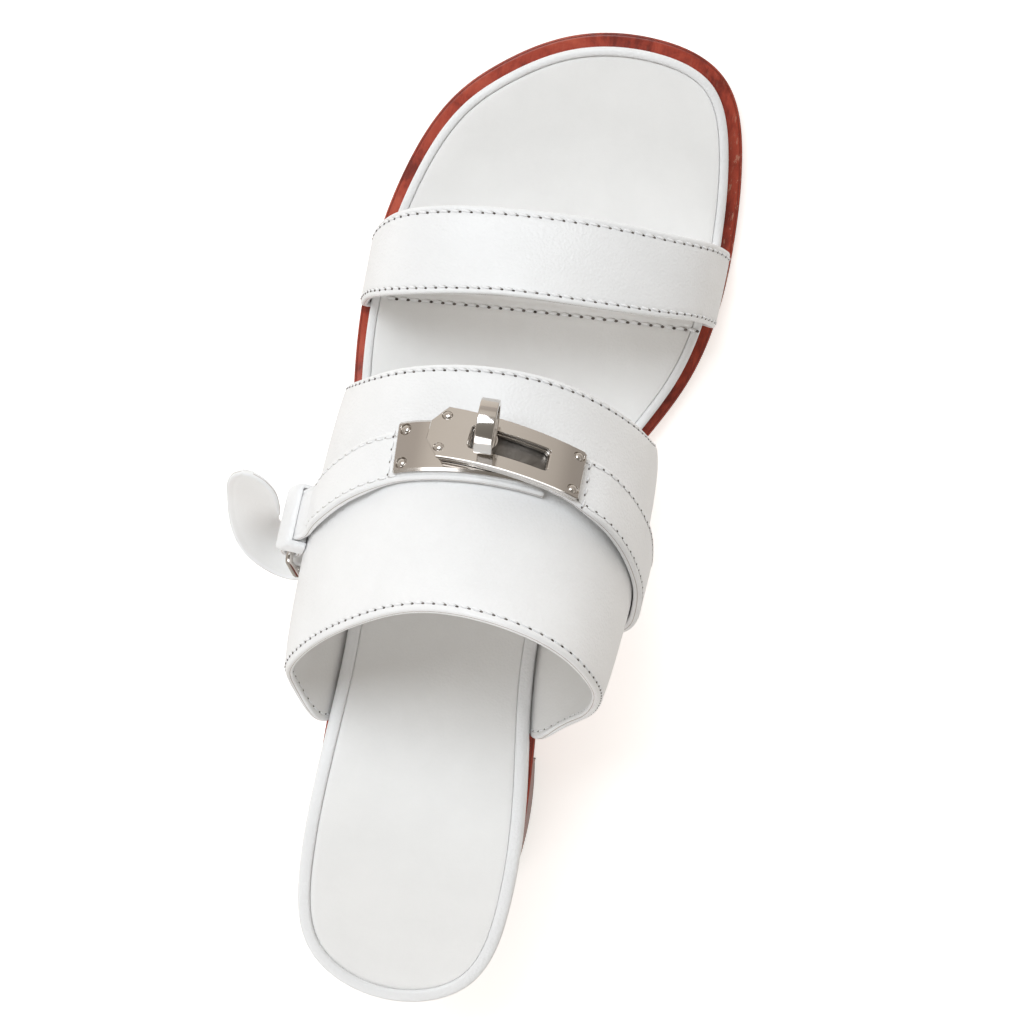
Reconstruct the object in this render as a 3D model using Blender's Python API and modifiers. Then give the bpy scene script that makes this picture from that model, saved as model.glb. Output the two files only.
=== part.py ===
"""A left block-heel sandal: outsole, stacked heel, wrapped footbed, two straps and a buckled belt
with a turn clasp.

Every table is in millimetres, in the last's own directions: across (medial positive), along (from
the back of the heel to the toe) and up from the floor. place() turns them into world metres: the toe
points to -Y, the lateral side to +X, and the origin is on the floor at the middle of the box that the
sandal fills.
"""

import bmesh
import bpy
import numpy as np
from mathutils import Matrix, Vector

MM = 0.001
MIDDLE_ACROSS = -8.21  # the middle of the whole sandal's box, in the last's directions
MIDDLE_ALONG = 116.7

# Sole and footbed.
HEEL_RISE = 41.1  # how far the heel seat lies above the forefoot
RISE_STARTS = 153.1
RISE_ENDS = 25.6
TOE_SPRING = 2.0
SPRING_STARTS = 190.0
TOE_TIP_ALONG = 231.6
SOLE_FORE = 5.0  # outsole thickness under the ball
SOLE_WAIST = 3.6  # outsole thickness from the waist back
RIM = 6.0  # from the outsole's top to the top of the footbed's rail
TRAY = 2.2  # how deep the footbed's tray lies under its rail
WELT_HEEL = -0.7  # how far the outsole stands out past the footbed at the heel
WELT_WAIST = 2.5
WELT_TOE = 3.5
BREAST_TOP = 57.0  # where the heel block's front face meets the outsole
BREAST_FOOT = 51.0
HEEL_FOOT_BACK = 6.8
HEEL_FOOT_HALF = 22.8
HEEL_FOOT_MIDDLE = 2.7  # the block leans to the medial side

# Leather and gaps.
WALL = 1.8  # front strap and instep band, outer leather and lining together
MEDIAL_BELT = 2.2
SIDE_BELT = 1.6
GAP = 0.3
TUCK = 8.0  # how far a strap's end reaches in under the footbed
SIDE_HALF = 6.2  # half the width of the belt's lateral half and of the side strap

# Edge of the footbed: along, medial edge, lateral edge.
FOOTBED_EDGE = [
    (7.1, 20.1, -20.1),
    (27.6, 25.4, -26.1),
    (55.0, 23.4, -26.8),
    (85.0, 18.5, -27.6),
    (110.0, 20.1, -32.1),
    (135.0, 28.9, -37.6),
    (155.0, 38.1, -39.8),
    (174.0, 41.6, -38.8),
    (193.0, 41.2, -34.8),
    (211.0, 38.6, -26.3),
]
HEEL_POINT = (0.0, -1.5)
TOE_POINTS = [(31.2, 226.6), (14.6, 231.4), (-5.2, 227.5), (-18.0, 219.3)]

# Outer faces of the straps, from the lateral side over the foot to the medial side:
# the front edge's across, along and up, then the rear edge's.
FRONT_STRAP_ROWS = [
    (-41.8, 175.4, 13.0, -41.7, 158.4, 14.0),
    (-38.2, 180.9, 24.0, -38.1, 161.5, 26.0),
    (-32.3, 184.4, 31.5, -29.4, 164.8, 37.0),
    (-22.1, 187.4, 35.5, -18.6, 167.8, 43.0),
    (-9.5, 189.5, 37.3, -5.9, 170.3, 46.2),
    (4.1, 190.8, 37.8, 6.2, 171.4, 46.6),
    (16.6, 191.3, 36.3, 18.1, 171.9, 44.3),
    (28.0, 191.1, 32.3, 29.8, 172.1, 38.5),
    (37.2, 190.7, 25.0, 38.4, 172.0, 29.5),
    (42.2, 189.6, 16.0, 42.9, 170.8, 18.5),
    (44.1, 188.5, 10.5, 44.3, 169.8, 11.5),
]
BAND_ROWS = [
    (-39.3, 138.5, 18.0, -35.1, 67.8, 49.5),
    (-38.7, 140.3, 30.0, -36.5, 76.7, 61.8),
    (-34.6, 144.0, 44.0, -30.5, 87.3, 75.5),
    (-25.0, 150.1, 57.0, -19.9, 98.3, 89.6),
    (-12.1, 154.5, 64.0, -6.1, 106.9, 100.6),
    (2.5, 156.2, 65.3, 9.8, 108.9, 105.4),
    (15.7, 154.8, 62.3, 23.9, 105.3, 103.3),
    (25.2, 151.0, 54.5, 32.3, 97.3, 94.1),
    (31.7, 146.4, 43.5, 34.5, 88.8, 78.8),
    (34.5, 142.6, 30.5, 32.9, 80.5, 62.7),
    (34.8, 140.9, 18.5, 28.1, 72.8, 49.0),
]
# Where each strap's ends meet the rim: lateral front and rear, medial front and rear, along.
FRONT_STRAP_FEET = (174.0, 157.0, 188.2, 169.5)
BAND_FEET = (137.6, 60.3, 140.0, 66.9)
BAND_DIP = 4.5  # the band's crown lies this far under a straight line from edge to edge
BAND_SWELL = (2.2, 4.9)  # and its sides stand this far outside it, lateral and medial

# The belt's line on the band, as a share of the band's width behind its front edge.
BELT_LINE_CROWN = 0.30
BELT_LINE_FOOT = 0.50

# Distances along the belt from its crown, down the lateral side positive.
PLATE_FROM, PLATE_TO = -5.0, 24.6
PLATE_MIDDLE = 2.0  # the fixed plate's middle line, towards the heel from the belt's line
PLATE_HALF = 6.25
SLOTTED_FROM, SLOTTED_TO = -14.65, 15.5
CHAMFER_FROM, CHAMFER_HALF = 12.55, 2.35
SLOTTED_TURN = 0.15  # the slotted plate lies askew over the fixed one
SLOT_FROM, SLOT_TO = -7.9, 7.2
SLOT_HALF = 2.75
RING_AT = 4.0
RING_TURN = 0.1  # the ring's face is turned this much from square to the belt
RING_UPRIGHT = 3.0  # it stands like the belt does this much nearer the crown
KEEPER_FROM, KEEPER_TO = 62.5, 66.8
BAR_UPPER, BAR_LOWER = 70.5, 78.5
FOLD_END = 63.0  # where the belt's turned-back end stops
RISE_TO_BUCKLE = 12.5  # over this length the belt rises to the outside of the buckle's bar
BELT_FOOT = 91.2
FIXED_PLATE = 1.0
SLOTTED_PLATE = 1.2
SKIVED = 1.3  # the medial belt is thinned to this under the slotted plate
BAR = 0.9  # radius of the buckle's bars
BUCKLE_HALF = 7.7
KEEPER = 1.2
RING_RADIUS, RING_WIDE = 6.0, 4.05
RIM_INNER, WEB_WIDE, RING_HOLE = 4.9, 2.3, 1.0
RING_STANDOFF = 0.7  # from the slotted plate to the foot of the ring
PIN, POST_BORE, POST_RADIUS = 1.45, 1.8, 2.45
RIVET_RADIUS, RIVET_HEIGHT, RIVET_GAP = 0.9, 0.7, 0.12

LEATHER_WHITE = ((0.84, 0.845, 0.85, 1.0), 0.45, 0.0)
SOLE_BROWN = ((0.22, 0.045, 0.025, 1.0), 0.4, 0.0)
NICKEL = ((0.62, 0.59, 0.56, 1.0), 0.12, 1.0)


# ---------------------------------------------------------------- curves and heights


def smooth_step(x, start, end):
    t = np.clip((np.asarray(x, float) - start) / (end - start), 0.0, 1.0)
    return t * t * (3.0 - 2.0 * t)


def slopes(points, steps, closed):
    """Tangents of the smooth cubic curve through the points."""
    count = len(points)
    weights = np.zeros((count, count))
    right = np.zeros_like(points)
    for i in range(count):
        if closed or 0 < i < count - 1:
            before, after = i - 1, (i + 1) % count
            a, b = steps[i - 1], steps[i]
            weights[i, i] = 2.0 * (a + b)
            weights[i, before] += b
            weights[i, after] += a
            rise_in = b * (points[i] - points[before]) / a
            rise_out = a * (points[after] - points[i]) / b
            right[i] = 3.0 * (rise_in + rise_out)
        else:
            first = min(i, count - 2)
            weights[i, i] = 2.0
            weights[i, 1 if i == 0 else i - 1] = 1.0
            right[i] = 3.0 * (points[first + 1] - points[first]) / steps[first]
    return np.linalg.solve(weights, right)


def smooth_curve(points, where, closed=False):
    """Points of the smooth curve through the given ones. where turns its length into distances along it."""
    points = np.asarray(points, float)
    ends = np.vstack([points, points[:1]]) if closed else points
    steps = np.linalg.norm(np.diff(ends, axis=0), axis=1)
    knots = np.concatenate([[0.0], np.cumsum(steps)])
    tangents = slopes(points, steps, closed)
    found = []
    for distance in where(knots[-1]):
        i = int(np.clip(np.searchsorted(knots, distance, "right") - 1, 0, len(steps) - 1))
        t = (distance - knots[i]) / steps[i]
        after = (i + 1) % len(tangents)
        here = (2 * t**3 - 3 * t**2 + 1) * ends[i] + (3 * t**2 - 2 * t**3) * ends[i + 1]
        bend = (t**3 - 2 * t**2 + t) * tangents[i] + (t**3 - t**2) * tangents[after]
        found.append(here + bend * steps[i])
    return np.array(found)


def evenly(count, closed=False):
    return lambda length: np.linspace(0.0, length, count, endpoint=not closed)


def footbed_outline():
    medial = [(row[1], row[0]) for row in FOOTBED_EDGE]
    lateral = [(row[2], row[0]) for row in reversed(FOOTBED_EDGE)]
    return smooth_curve([HEEL_POINT, *medial, *TOE_POINTS, *lateral], evenly(720, True), True)


OUTLINE = footbed_outline()
HEEL_INDEX = int(OUTLINE[:, 1].argmin())
TURNED = np.roll(OUTLINE, -HEEL_INDEX, axis=0)
TOE_INDEX = int(TURNED[:, 1].argmax())
MEDIAL_SIDE = TURNED[: TOE_INDEX + 1]
LATERAL_SIDE = np.vstack([TURNED[TOE_INDEX:], TURNED[:1]])[::-1]


def edge(along, side):
    """The footbed's edge at this distance from the heel: side 1 is medial, -1 is lateral."""
    line = MEDIAL_SIDE if side > 0 else LATERAL_SIDE
    return np.interp(along, line[:, 1], line[:, 0])


def rise(along):
    heel = HEEL_RISE * (1.0 - smooth_step(along, RISE_ENDS, RISE_STARTS))
    past = (np.asarray(along, float) - SPRING_STARTS) / (TOE_TIP_ALONG - SPRING_STARTS)
    past = np.clip(past, 0.0, None)
    return heel + TOE_SPRING * past**2


def sole_top(along):
    return SOLE_FORE + rise(along)


def sole_bottom(along):
    thickness = SOLE_WAIST + (SOLE_FORE - SOLE_WAIST) * smooth_step(along, 110.0, RISE_STARTS)
    return sole_top(along) - thickness


def welt(along):
    waist = WELT_HEEL + (WELT_WAIST - WELT_HEEL) * smooth_step(along, 25.0, 95.0)
    return waist + (WELT_TOE - WELT_WAIST) * smooth_step(along, 110.0, 225.0)


# ---------------------------------------------------------------- meshes


def place(points):
    """World metres from millimetres in the last's directions."""
    points = np.asarray(points, float).reshape(-1, 3)
    x = MIDDLE_ACROSS - points[:, 0]
    y = MIDDLE_ALONG - points[:, 1]
    return np.column_stack([x, y, points[:, 2]]) * MM


def material(name, look):
    colour, roughness, metallic = look
    made = bpy.data.materials.new(name)
    made.use_nodes = True
    shader = made.node_tree.nodes["Principled BSDF"]
    shader.inputs["Base Color"].default_value = colour
    shader.inputs["Roughness"].default_value = roughness
    shader.inputs["Metallic"].default_value = metallic
    return made


def new_part(name, points, faces, look, collection):
    """An object from points in the last's directions, with its faces turned outwards."""
    mesh = bpy.data.meshes.new(name)
    mesh.from_pydata([tuple(p) for p in place(points)], [], faces)
    shape = bmesh.new()
    shape.from_mesh(mesh)
    bmesh.ops.recalc_face_normals(shape, faces=shape.faces)
    shape.to_mesh(mesh)
    shape.free()
    mesh.materials.append(material(name, look))
    part = bpy.data.objects.new(name, mesh)
    collection.objects.link(part)
    return part


def loop_faces(loops, size):
    """Quads between neighbouring loops of one size."""
    return [
        (k * size + i, k * size + (i + 1) % size, (k + 1) * size + (i + 1) % size, (k + 1) * size + i)
        for k in range(loops - 1)
        for i in range(size)
    ]


def cap_faces(first, size):
    """Closes a loop that runs from the heel along one side and back along the other, in strips across."""
    half = size // 2
    left = [first + i for i in range(half + 1)]
    right = [first] + [first + size - i for i in range(1, half + size % 2)]
    if size % 2 == 0:
        right.append(first + half)
    strips = []
    for i in range(half):
        corners = [left[i], left[i + 1], right[i + 1], right[i]]
        strips.append(tuple(dict.fromkeys(corners)))
    return strips


def stacked(name, loops, look, collection):
    """A closed solid through loops from bottom to top."""
    size = len(loops[0])
    faces = loop_faces(len(loops), size) + cap_faces(0, size) + cap_faces((len(loops) - 1) * size, size)
    return new_part(name, np.vstack(loops), faces, look, collection)


def paired_outline(count, start=None, end=None):
    """The footbed's edge as one loop, its medial and lateral points in pairs, closer together at both tips."""
    low = OUTLINE[:, 1].min() if start is None else start
    high = OUTLINE[:, 1].max() if end is None else end
    along = low + (high - low) * (1.0 - np.cos(np.linspace(0.0, np.pi, count + 1))) / 2.0
    medial = np.column_stack([edge(along, 1), along])
    lateral = np.column_stack([edge(along, -1), along])
    return np.vstack([medial, lateral[-2:0:-1]])


def outward(loop):
    """Unit normals of a flat loop that runs anticlockwise."""
    along = np.roll(loop, -1, axis=0) - np.roll(loop, 1, axis=0)
    normals = np.column_stack([along[:, 1], -along[:, 0]])
    return normals / np.linalg.norm(normals, axis=1)[:, None]


def offset(loop, distance):
    return loop + outward(loop) * np.reshape(distance, (-1, 1))


def raised(loop, height):
    return np.column_stack([loop, height])


def grid_faces(rows, columns):
    return [
        (r * columns + c, r * columns + c + 1, (r + 1) * columns + c + 1, (r + 1) * columns + c)
        for r in range(rows - 1)
        for c in range(columns - 1)
    ]


def sheet(name, grid, outside, thickness, share, look, collection):
    """A leather sheet: a grid of points with Solidify. Its faces look to the side where outside lies."""
    rows, columns = grid.shape[:2]
    faces = grid_faces(rows, columns)
    r, c = rows // 2, columns // 2
    here, right, down = grid[r, c], grid[r, c + 1], grid[r + 1, c]
    if np.dot(np.cross(right - here, down - here), np.asarray(outside) - here) < 0:
        faces = [tuple(reversed(face)) for face in faces]
    mesh = bpy.data.meshes.new(name)
    mesh.from_pydata([tuple(p) for p in place(grid.reshape(-1, 3))], [], faces)
    mesh.materials.append(material(name, look))
    part = bpy.data.objects.new(name, mesh)
    collection.objects.link(part)
    wall = part.modifiers.new("wall", "SOLIDIFY")
    wall.thickness = thickness * MM
    wall.offset = share
    wall.use_even_offset = True
    return part


def cut(part, cutter, operation="DIFFERENCE"):
    boolean = part.modifiers.new(operation.lower(), "BOOLEAN")
    boolean.operation = operation
    boolean.object = cutter
    boolean.solver = "EXACT"


# ---------------------------------------------------------------- sole, heel and footbed


def outsole(collection):
    base = paired_outline(46)
    width = welt(base[:, 1])
    bevel = 0.9
    loops = []
    profile = [(bevel, 0.0, False), (0.0, bevel, False), (0.0, -bevel, True), (bevel, 0.0, True)]
    for inset, up, top in profile:
        loop = offset(base, width - inset)
        height = sole_top(loop[:, 1]) if top else sole_bottom(loop[:, 1])
        loops.append(raised(loop, height + up))
    return stacked("outsole", loops, SOLE_BROWN, collection)


def heel_block(collection):
    """A block whose round back follows the heel seat and tapers down, with a flat front."""
    top = paired_outline(40)
    half = len(top) // 2
    keep = [i for i in range(half) if top[i, 1] < BREAST_TOP - 3.0]
    medial = np.vstack([top[keep], (edge(BREAST_TOP, 1), BREAST_TOP)])
    lateral = np.vstack([top[[-i % len(top) for i in keep]], (edge(BREAST_TOP, -1), BREAST_TOP)])
    outline = np.vstack([medial, lateral[:0:-1]])
    inset = offset(outline, WELT_HEEL)
    inset[:, 1] = np.minimum(inset[:, 1], BREAST_TOP)
    middle = (inset[:, 0].max() + inset[:, 0].min()) / 2.0
    half_width = (inset[:, 0].max() - inset[:, 0].min()) / 2.0
    lengthwise = (BREAST_FOOT - HEEL_FOOT_BACK) / (BREAST_TOP - inset[:, 1].min())
    foot = np.column_stack(
        [
            HEEL_FOOT_MIDDLE + (inset[:, 0] - middle) * HEEL_FOOT_HALF / half_width,
            BREAST_FOOT + (inset[:, 1] - BREAST_TOP) * lengthwise,
        ]
    )
    top_height = sole_bottom(inset[:, 1]) - GAP
    levels = []
    bevel = 0.6
    levels.append(raised(offset(foot, -bevel), np.zeros(len(foot))))
    levels.append(raised(foot, np.full(len(foot), bevel)))
    levels.append((raised(foot, np.zeros(len(foot))) + raised(inset, top_height)) / 2.0)
    levels.append(raised(inset, top_height))
    return stacked("heel_block", levels, SOLE_BROWN, collection)


def notch(loop):
    """How far the footbed's underside is raised over the tucked ends of the straps."""
    room = np.zeros(len(loop))
    half = len(loop) // 2
    medial = np.arange(len(loop)) <= half
    for feet in (FRONT_STRAP_FEET, BAND_FEET):
        for side, front, rear in ((~medial, feet[0], feet[1]), (medial, feet[2], feet[3])):
            inside = side & (loop[:, 1] > rear - 1.0) & (loop[:, 1] < front + 1.0)
            room[inside] = WALL + GAP
    return room


def with_strap_ends(base):
    """Adds points to the footbed's loop beside each strap's end, so that the notches end sharply."""
    half = len(base) // 2
    sides = {1: list(base[: half + 1, 1]), -1: list(base[half + 1 :, 1])}
    for feet in (FRONT_STRAP_FEET, BAND_FEET):
        for side, front, rear in ((-1, feet[0], feet[1]), (1, feet[2], feet[3])):
            for station in (rear - 1.4, rear - 0.9, front + 0.9, front + 1.4):
                sides[1].append(station)
                sides[-1].append(station)
    stations = sorted(set(np.round([s for s in sides[1] if base[0, 1] < s < base[half, 1]], 4)))
    kept = [stations[0]]
    for station in stations[1:]:
        if station - kept[-1] > 0.3:
            kept.append(station)
    along = np.array([base[0, 1], *kept, base[half, 1]])
    medial = np.column_stack([edge(along, 1), along])
    lateral = np.column_stack([edge(along, -1), along])
    return np.vstack([medial, lateral[-2:0:-1]])


def footbed(collection):
    """A board with a rounded rail, a tray inside it, and notches underneath for the straps' ends."""
    base = with_strap_ends(paired_outline(40))
    room = notch(base)
    profile = [
        # inset, height above the outsole, share of the notch
        (TUCK + 2.0, GAP, 0.0),
        (TUCK + 1.0, GAP, 1.0),
        (0.5, GAP, 1.0),
        (0.0, GAP + 0.5, 1.0),
        (0.0, RIM - 1.6, 0.0),
        (0.7, RIM - 0.4, 0.0),
        (1.6, RIM, 0.0),
        (2.6, RIM - 0.4, 0.0),
        (3.2, RIM - TRAY, 0.0),
    ]
    loops = []
    for inset, height, share in profile:
        loop = offset(base, -inset)
        loops.append(raised(loop, sole_top(loop[:, 1]) + height + room * share))
    return stacked("footbed", loops, LEATHER_WHITE, collection)


def insole(collection):
    """The padded sock in the footbed's tray."""
    base = paired_outline(44)
    floor = RIM - TRAY + GAP
    profile = [(4.0, floor), (3.6, floor + 0.4), (3.6, floor + 0.8), (4.4, floor + 1.3), (7.0, floor + 1.5)]
    loops = []
    for inset, height in profile:
        loop = offset(base, -inset)
        loops.append(raised(loop, sole_top(loop[:, 1]) + height))
    return stacked("insole", loops, LEATHER_WHITE, collection)


# ---------------------------------------------------------------- straps


def foot_rows(along, side):
    """A strap's outer face from its end under the footbed, round the rim's foot and up."""
    rim = edge(along, side)
    wall = rim + side * (GAP + WALL)
    height = float(sole_top(along)) + GAP
    return [
        (rim - side * TUCK, along, height),
        (rim - side * 2.0, along, height),
        (wall - side * 0.9, along, height + 0.5),
        (wall, along, height + 2.2),
    ]


def section(table, feet, share, dip=0.0, swell=(0.0, 0.0)):
    """Control points of one cross-section, at this share of the way from the front to the rear edge."""
    table = np.asarray(table, float)
    rows = table[:, :3] * (1.0 - share) + table[:, 3:] * share
    over = np.cos(np.linspace(-0.5, 0.5, len(rows)) * np.pi) ** 2
    middle = 4.0 * share * (1.0 - share)
    rows[:, 2] -= dip * middle * over * 0.75
    rows[:, 1] -= dip * middle * over * 0.66
    for row, top in zip(rows, over):
        side = 1.0 if row[0] > 0.0 else -1.0
        row[0] += side * swell[1 if side > 0 else 0] * np.sqrt(middle) * (1.0 - top)
        if row[2] < sole_top(row[1]) + RIM + 1.5:
            row[0] = side * max(side * row[0], side * edge(row[1], side) + GAP + WALL)
    lateral = feet[0] * (1.0 - share) + feet[1] * share
    medial = feet[2] * (1.0 - share) + feet[3] * share
    return np.vstack([foot_rows(lateral, -1.0), rows, foot_rows(medial, 1.0)[::-1]])


def strap_positions(middle_count):
    """Distances along a section: close together round the turn at each end, and even between."""
    ends = np.array([0.0, 4.0, 7.0, 8.2, 9.2, 10.2, 11.3, 12.6, 14.5])
    return lambda length: np.concatenate(
        [ends, np.linspace(ends[-1], length - ends[-1], middle_count + 2)[1:-1], length - ends[::-1]]
    )


def strap(name, table, feet, shares, middle_count, dip, swell, collection):
    where = strap_positions(middle_count)
    grid = np.array([smooth_curve(section(table, feet, share, dip, swell), where) for share in shares])
    above = grid[len(shares) // 2, grid.shape[1] // 2] + np.array([0.0, 0.0, 50.0])
    return sheet(name, grid, above, WALL, -1.0, LEATHER_WHITE, collection)


def front_strap(collection):
    shares = np.linspace(0.0, 1.0, 5)
    return strap("front_strap", FRONT_STRAP_ROWS, FRONT_STRAP_FEET, shares, 24, 0.4, (0.3, 0.2), collection)


def instep_band(collection):
    shares = np.linspace(0.0, 1.0, 12)
    return strap("instep_band", BAND_ROWS, BAND_FEET, shares, 30, BAND_DIP, BAND_SWELL, collection)


# ---------------------------------------------------------------- the belt's own directions

PATH_COUNT = 241
SHARE_COUNT = 29
PATH_SHARES = np.linspace(0.05, 0.95, SHARE_COUNT)
BAND_SECTIONS = [section(BAND_ROWS, BAND_FEET, u, BAND_DIP, BAND_SWELL) for u in PATH_SHARES]
BAND_GRID = np.array([smooth_curve(rows, evenly(PATH_COUNT)) for rows in BAND_SECTIONS])


def on_band(share, across):
    """A point of the band's outer face: share runs from front to rear, across from the lateral end to 1."""
    i = np.clip(np.interp(share, PATH_SHARES, np.arange(SHARE_COUNT)), 0, SHARE_COUNT - 1.001)
    j = np.clip(across * (PATH_COUNT - 1), 0, PATH_COUNT - 1.001)
    a, b = int(i), int(j)
    p, q = i - a, j - b
    near = BAND_GRID[a, b] * (1 - q) + BAND_GRID[a, b + 1] * q
    far = BAND_GRID[a + 1, b] * (1 - q) + BAND_GRID[a + 1, b + 1] * q
    return near * (1 - p) + far * p


def belt_share(across):
    away = abs(across - 0.5) / 0.5
    return BELT_LINE_CROWN + (BELT_LINE_FOOT - BELT_LINE_CROWN) * smooth_step(away, 0.2, 0.9)


BELT_ACROSS = np.linspace(0.03, 0.97, 189)
BELT_PATH = np.array([on_band(belt_share(v), v) for v in BELT_ACROSS])
BELT_RUN = np.concatenate([[0.0], np.cumsum(np.linalg.norm(np.diff(BELT_PATH, axis=0), axis=1))])
BELT_RUN = BELT_RUN - np.interp(0.5, BELT_ACROSS, BELT_RUN)


def on_belt(distance, width, lift):
    """A point of the belt's surroundings: distance down the lateral side from the crown, width towards the
    heel from the belt's middle, and lift off the band's outer face."""
    across = float(np.interp(-distance, BELT_RUN, BELT_ACROSS))
    share = float(belt_share(across))
    step = 0.02
    along = on_band(share + step, across) - on_band(share - step, across)
    here_share = share + width * 2.0 * step / np.linalg.norm(along)
    here = on_band(here_share, across)
    along = on_band(here_share + step, across) - on_band(here_share - step, across)
    sideways = on_band(here_share, across + step) - on_band(here_share, across - step)
    normal = np.cross(sideways, -along)
    normal /= np.linalg.norm(normal)
    return here + normal * lift


# Heights of the layers over the band's outer face.
BELT_MIDDLE = GAP + SIDE_BELT / 2.0
PLATE_LIFT = 2.0 * GAP + SIDE_BELT
LAP_LIFT = PLATE_LIFT + FIXED_PLATE + GAP
SLOTTED_LIFT = LAP_LIFT + SKIVED + GAP
SLOTTED_TOP = SLOTTED_LIFT + SLOTTED_PLATE
TURN_RADIUS = BAR + GAP + SIDE_BELT / 2.0  # of a strap's middle round a bar
BAR_LIFT = BELT_MIDDLE + TURN_RADIUS
RING_LIFT = SLOTTED_TOP + RING_STANDOFF + RING_RADIUS


def lateral_line(distance):
    """Middle of the belt's lateral half, towards the heel from the belt's line, and how askew it runs."""
    return 3.5 + 0.5 * float(smooth_step(distance, 35.0, 55.0)), 0.0


def fixed_line(distance):
    return PLATE_MIDDLE, 0.0


def slotted_line(distance):
    return 1.95 - SLOTTED_TURN * distance, SLOTTED_TURN


def medial_line(distance):
    """Follows the slotted plate, then bends down to run straight to the sole."""
    end = SLOTTED_FROM
    turn = SLOTTED_TURN * float(smooth_step(distance, -45.0, end))
    if distance > end:
        return slotted_line(distance)[0], turn
    return slotted_line(end)[0] + 2.4 * (1.0 - np.exp((distance - end) / 16.0)), turn


def on_line(line, distance, width, lift):
    middle, turn = line(distance)
    return on_belt(distance + turn * width, middle + width, lift)


def medial_under(distance):
    """The medial belt's underside: on the band at the side, and over the fixed plate at the crown."""
    return GAP + (LAP_LIFT - GAP) * float(smooth_step(distance, -42.0, -8.0))


def medial_thickness(distance):
    return MEDIAL_BELT + (SKIVED - MEDIAL_BELT) * float(smooth_step(distance, -22.0, SLOTTED_FROM))


def lateral_middle(distance):
    """The lateral belt's middle, which rises from the band to the outside of the buckle's upper bar."""
    return BELT_MIDDLE + 2.0 * TURN_RADIUS * float(
        smooth_step(distance, BAR_UPPER - 1.5 - RISE_TO_BUCKLE, BAR_UPPER - 1.5)
    )


def belt_block(name, line, stations, look, collection):
    """A bent bar or plate through stations of (distance, half width, underside, top)."""
    loops = []
    for distance, half, low, high in stations:
        corners = ((-half, low), (0.0, low), (half, low), (half, high), (0.0, high), (-half, high))
        loops.append(np.array([on_line(line, distance, *corner) for corner in corners]))
    size = len(loops[0])
    last = (len(loops) - 1) * size
    ends = [(0, 1, 4, 5), (1, 2, 3, 4)]
    ends += [tuple(last + i for i in end) for end in ends]
    return new_part(name, np.vstack(loops), loop_faces(len(loops), size) + ends, look, collection)


def strap_sheet(name, grid, outer_row, thickness, collection):
    """A strap from rows of points. outer_row: a row's index and a point on the side its faces look to."""
    row, outside = outer_row
    faces = grid_faces(*grid.shape[:2])
    here = grid[row, 1]
    if np.dot(np.cross(grid[row, 2] - here, grid[row + 1, 1] - here), outside - here) < 0.0:
        faces = [tuple(reversed(face)) for face in faces]
    mesh = bpy.data.meshes.new(name)
    mesh.from_pydata([tuple(p) for p in place(grid.reshape(-1, 3))], [], faces)
    mesh.materials.append(material(name, LEATHER_WHITE))
    part = bpy.data.objects.new(name, mesh)
    collection.objects.link(part)
    wall = part.modifiers.new("wall", "SOLIDIFY")
    wall.thickness = thickness * MM
    wall.offset = 0.0
    wall.use_even_offset = True
    return part


def strap_rows(line, path, half):
    """Rows of points across a strap, along a path of (distance, lift)."""
    return [[on_line(line, d, w, lift) for w in np.linspace(-half, half, 4)] for d, lift in path]


# ---------------------------------------------------------------- belt, keeper and buckle


def slotted_outline():
    """Distances and half widths of the slotted plate, with its chamfered lateral end."""
    stations = [(SLOTTED_FROM, PLATE_HALF - 0.5), (SLOTTED_FROM + 0.5, PLATE_HALF)]
    stations += [(d, PLATE_HALF) for d in np.linspace(SLOTTED_FROM + 2.5, CHAMFER_FROM, 13)]
    stations += [(SLOTTED_TO, CHAMFER_HALF)]
    return stations


def slot_cutter(collection):
    low, high = LAP_LIFT - 0.6, SLOTTED_TOP + 1.0
    stations = [(d, SLOT_HALF, low, high) for d in np.linspace(SLOT_FROM, SLOT_TO, 9)]
    cutter = belt_block("slot_cutter", slotted_line, stations, NICKEL, collection)
    cutter.hide_render = True
    cutter.display_type = "WIRE"
    return cutter


def belt_medial(collection, slot):
    """From the sole up the medial side and over the fixed plate, slotted for the ring."""
    stations = []
    for d in np.linspace(-BELT_FOOT, -22.0, 19):
        half = 6.8 + 0.8 * float(smooth_step(-d, 14.0, 36.0))
        low = medial_under(d)
        stations.append((d, half, low, low + medial_thickness(d)))
    for d in np.linspace(-19.0, CHAMFER_FROM, 13):
        low = medial_under(d)
        half = 6.8 - 0.6 * float(smooth_step(d, -19.0, -12.0))
        stations.append((d, half, low, low + medial_thickness(d)))
    stations.append((SLOTTED_TO - 0.1, CHAMFER_HALF - 0.1, LAP_LIFT, LAP_LIFT + SKIVED))
    part = belt_block("belt_medial", medial_line, stations, LEATHER_WHITE, collection)
    cut(part, slot)
    return part


def belt_lateral(collection):
    """From under the fixed plate down to the buckle, round its upper bar and back up underneath."""
    path = [(d, lateral_middle(d)) for d in np.linspace(PLATE_FROM, BAR_UPPER - 1.5, 27)]
    turns = np.radians(np.linspace(90.0, -90.0, 9))
    path += [(BAR_UPPER + TURN_RADIUS * np.cos(a), BAR_LIFT + TURN_RADIUS * np.sin(a)) for a in turns]
    path += [(d, BELT_MIDDLE) for d in (BAR_UPPER - 2.5, BAR_UPPER - 5.0, FOLD_END)]
    grid = np.array(strap_rows(lateral_line, path, SIDE_HALF))
    outside = on_line(lateral_line, path[2][0], 0.0, 40.0)
    return strap_sheet("belt_lateral", grid, (2, outside), SIDE_BELT, collection)


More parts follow.
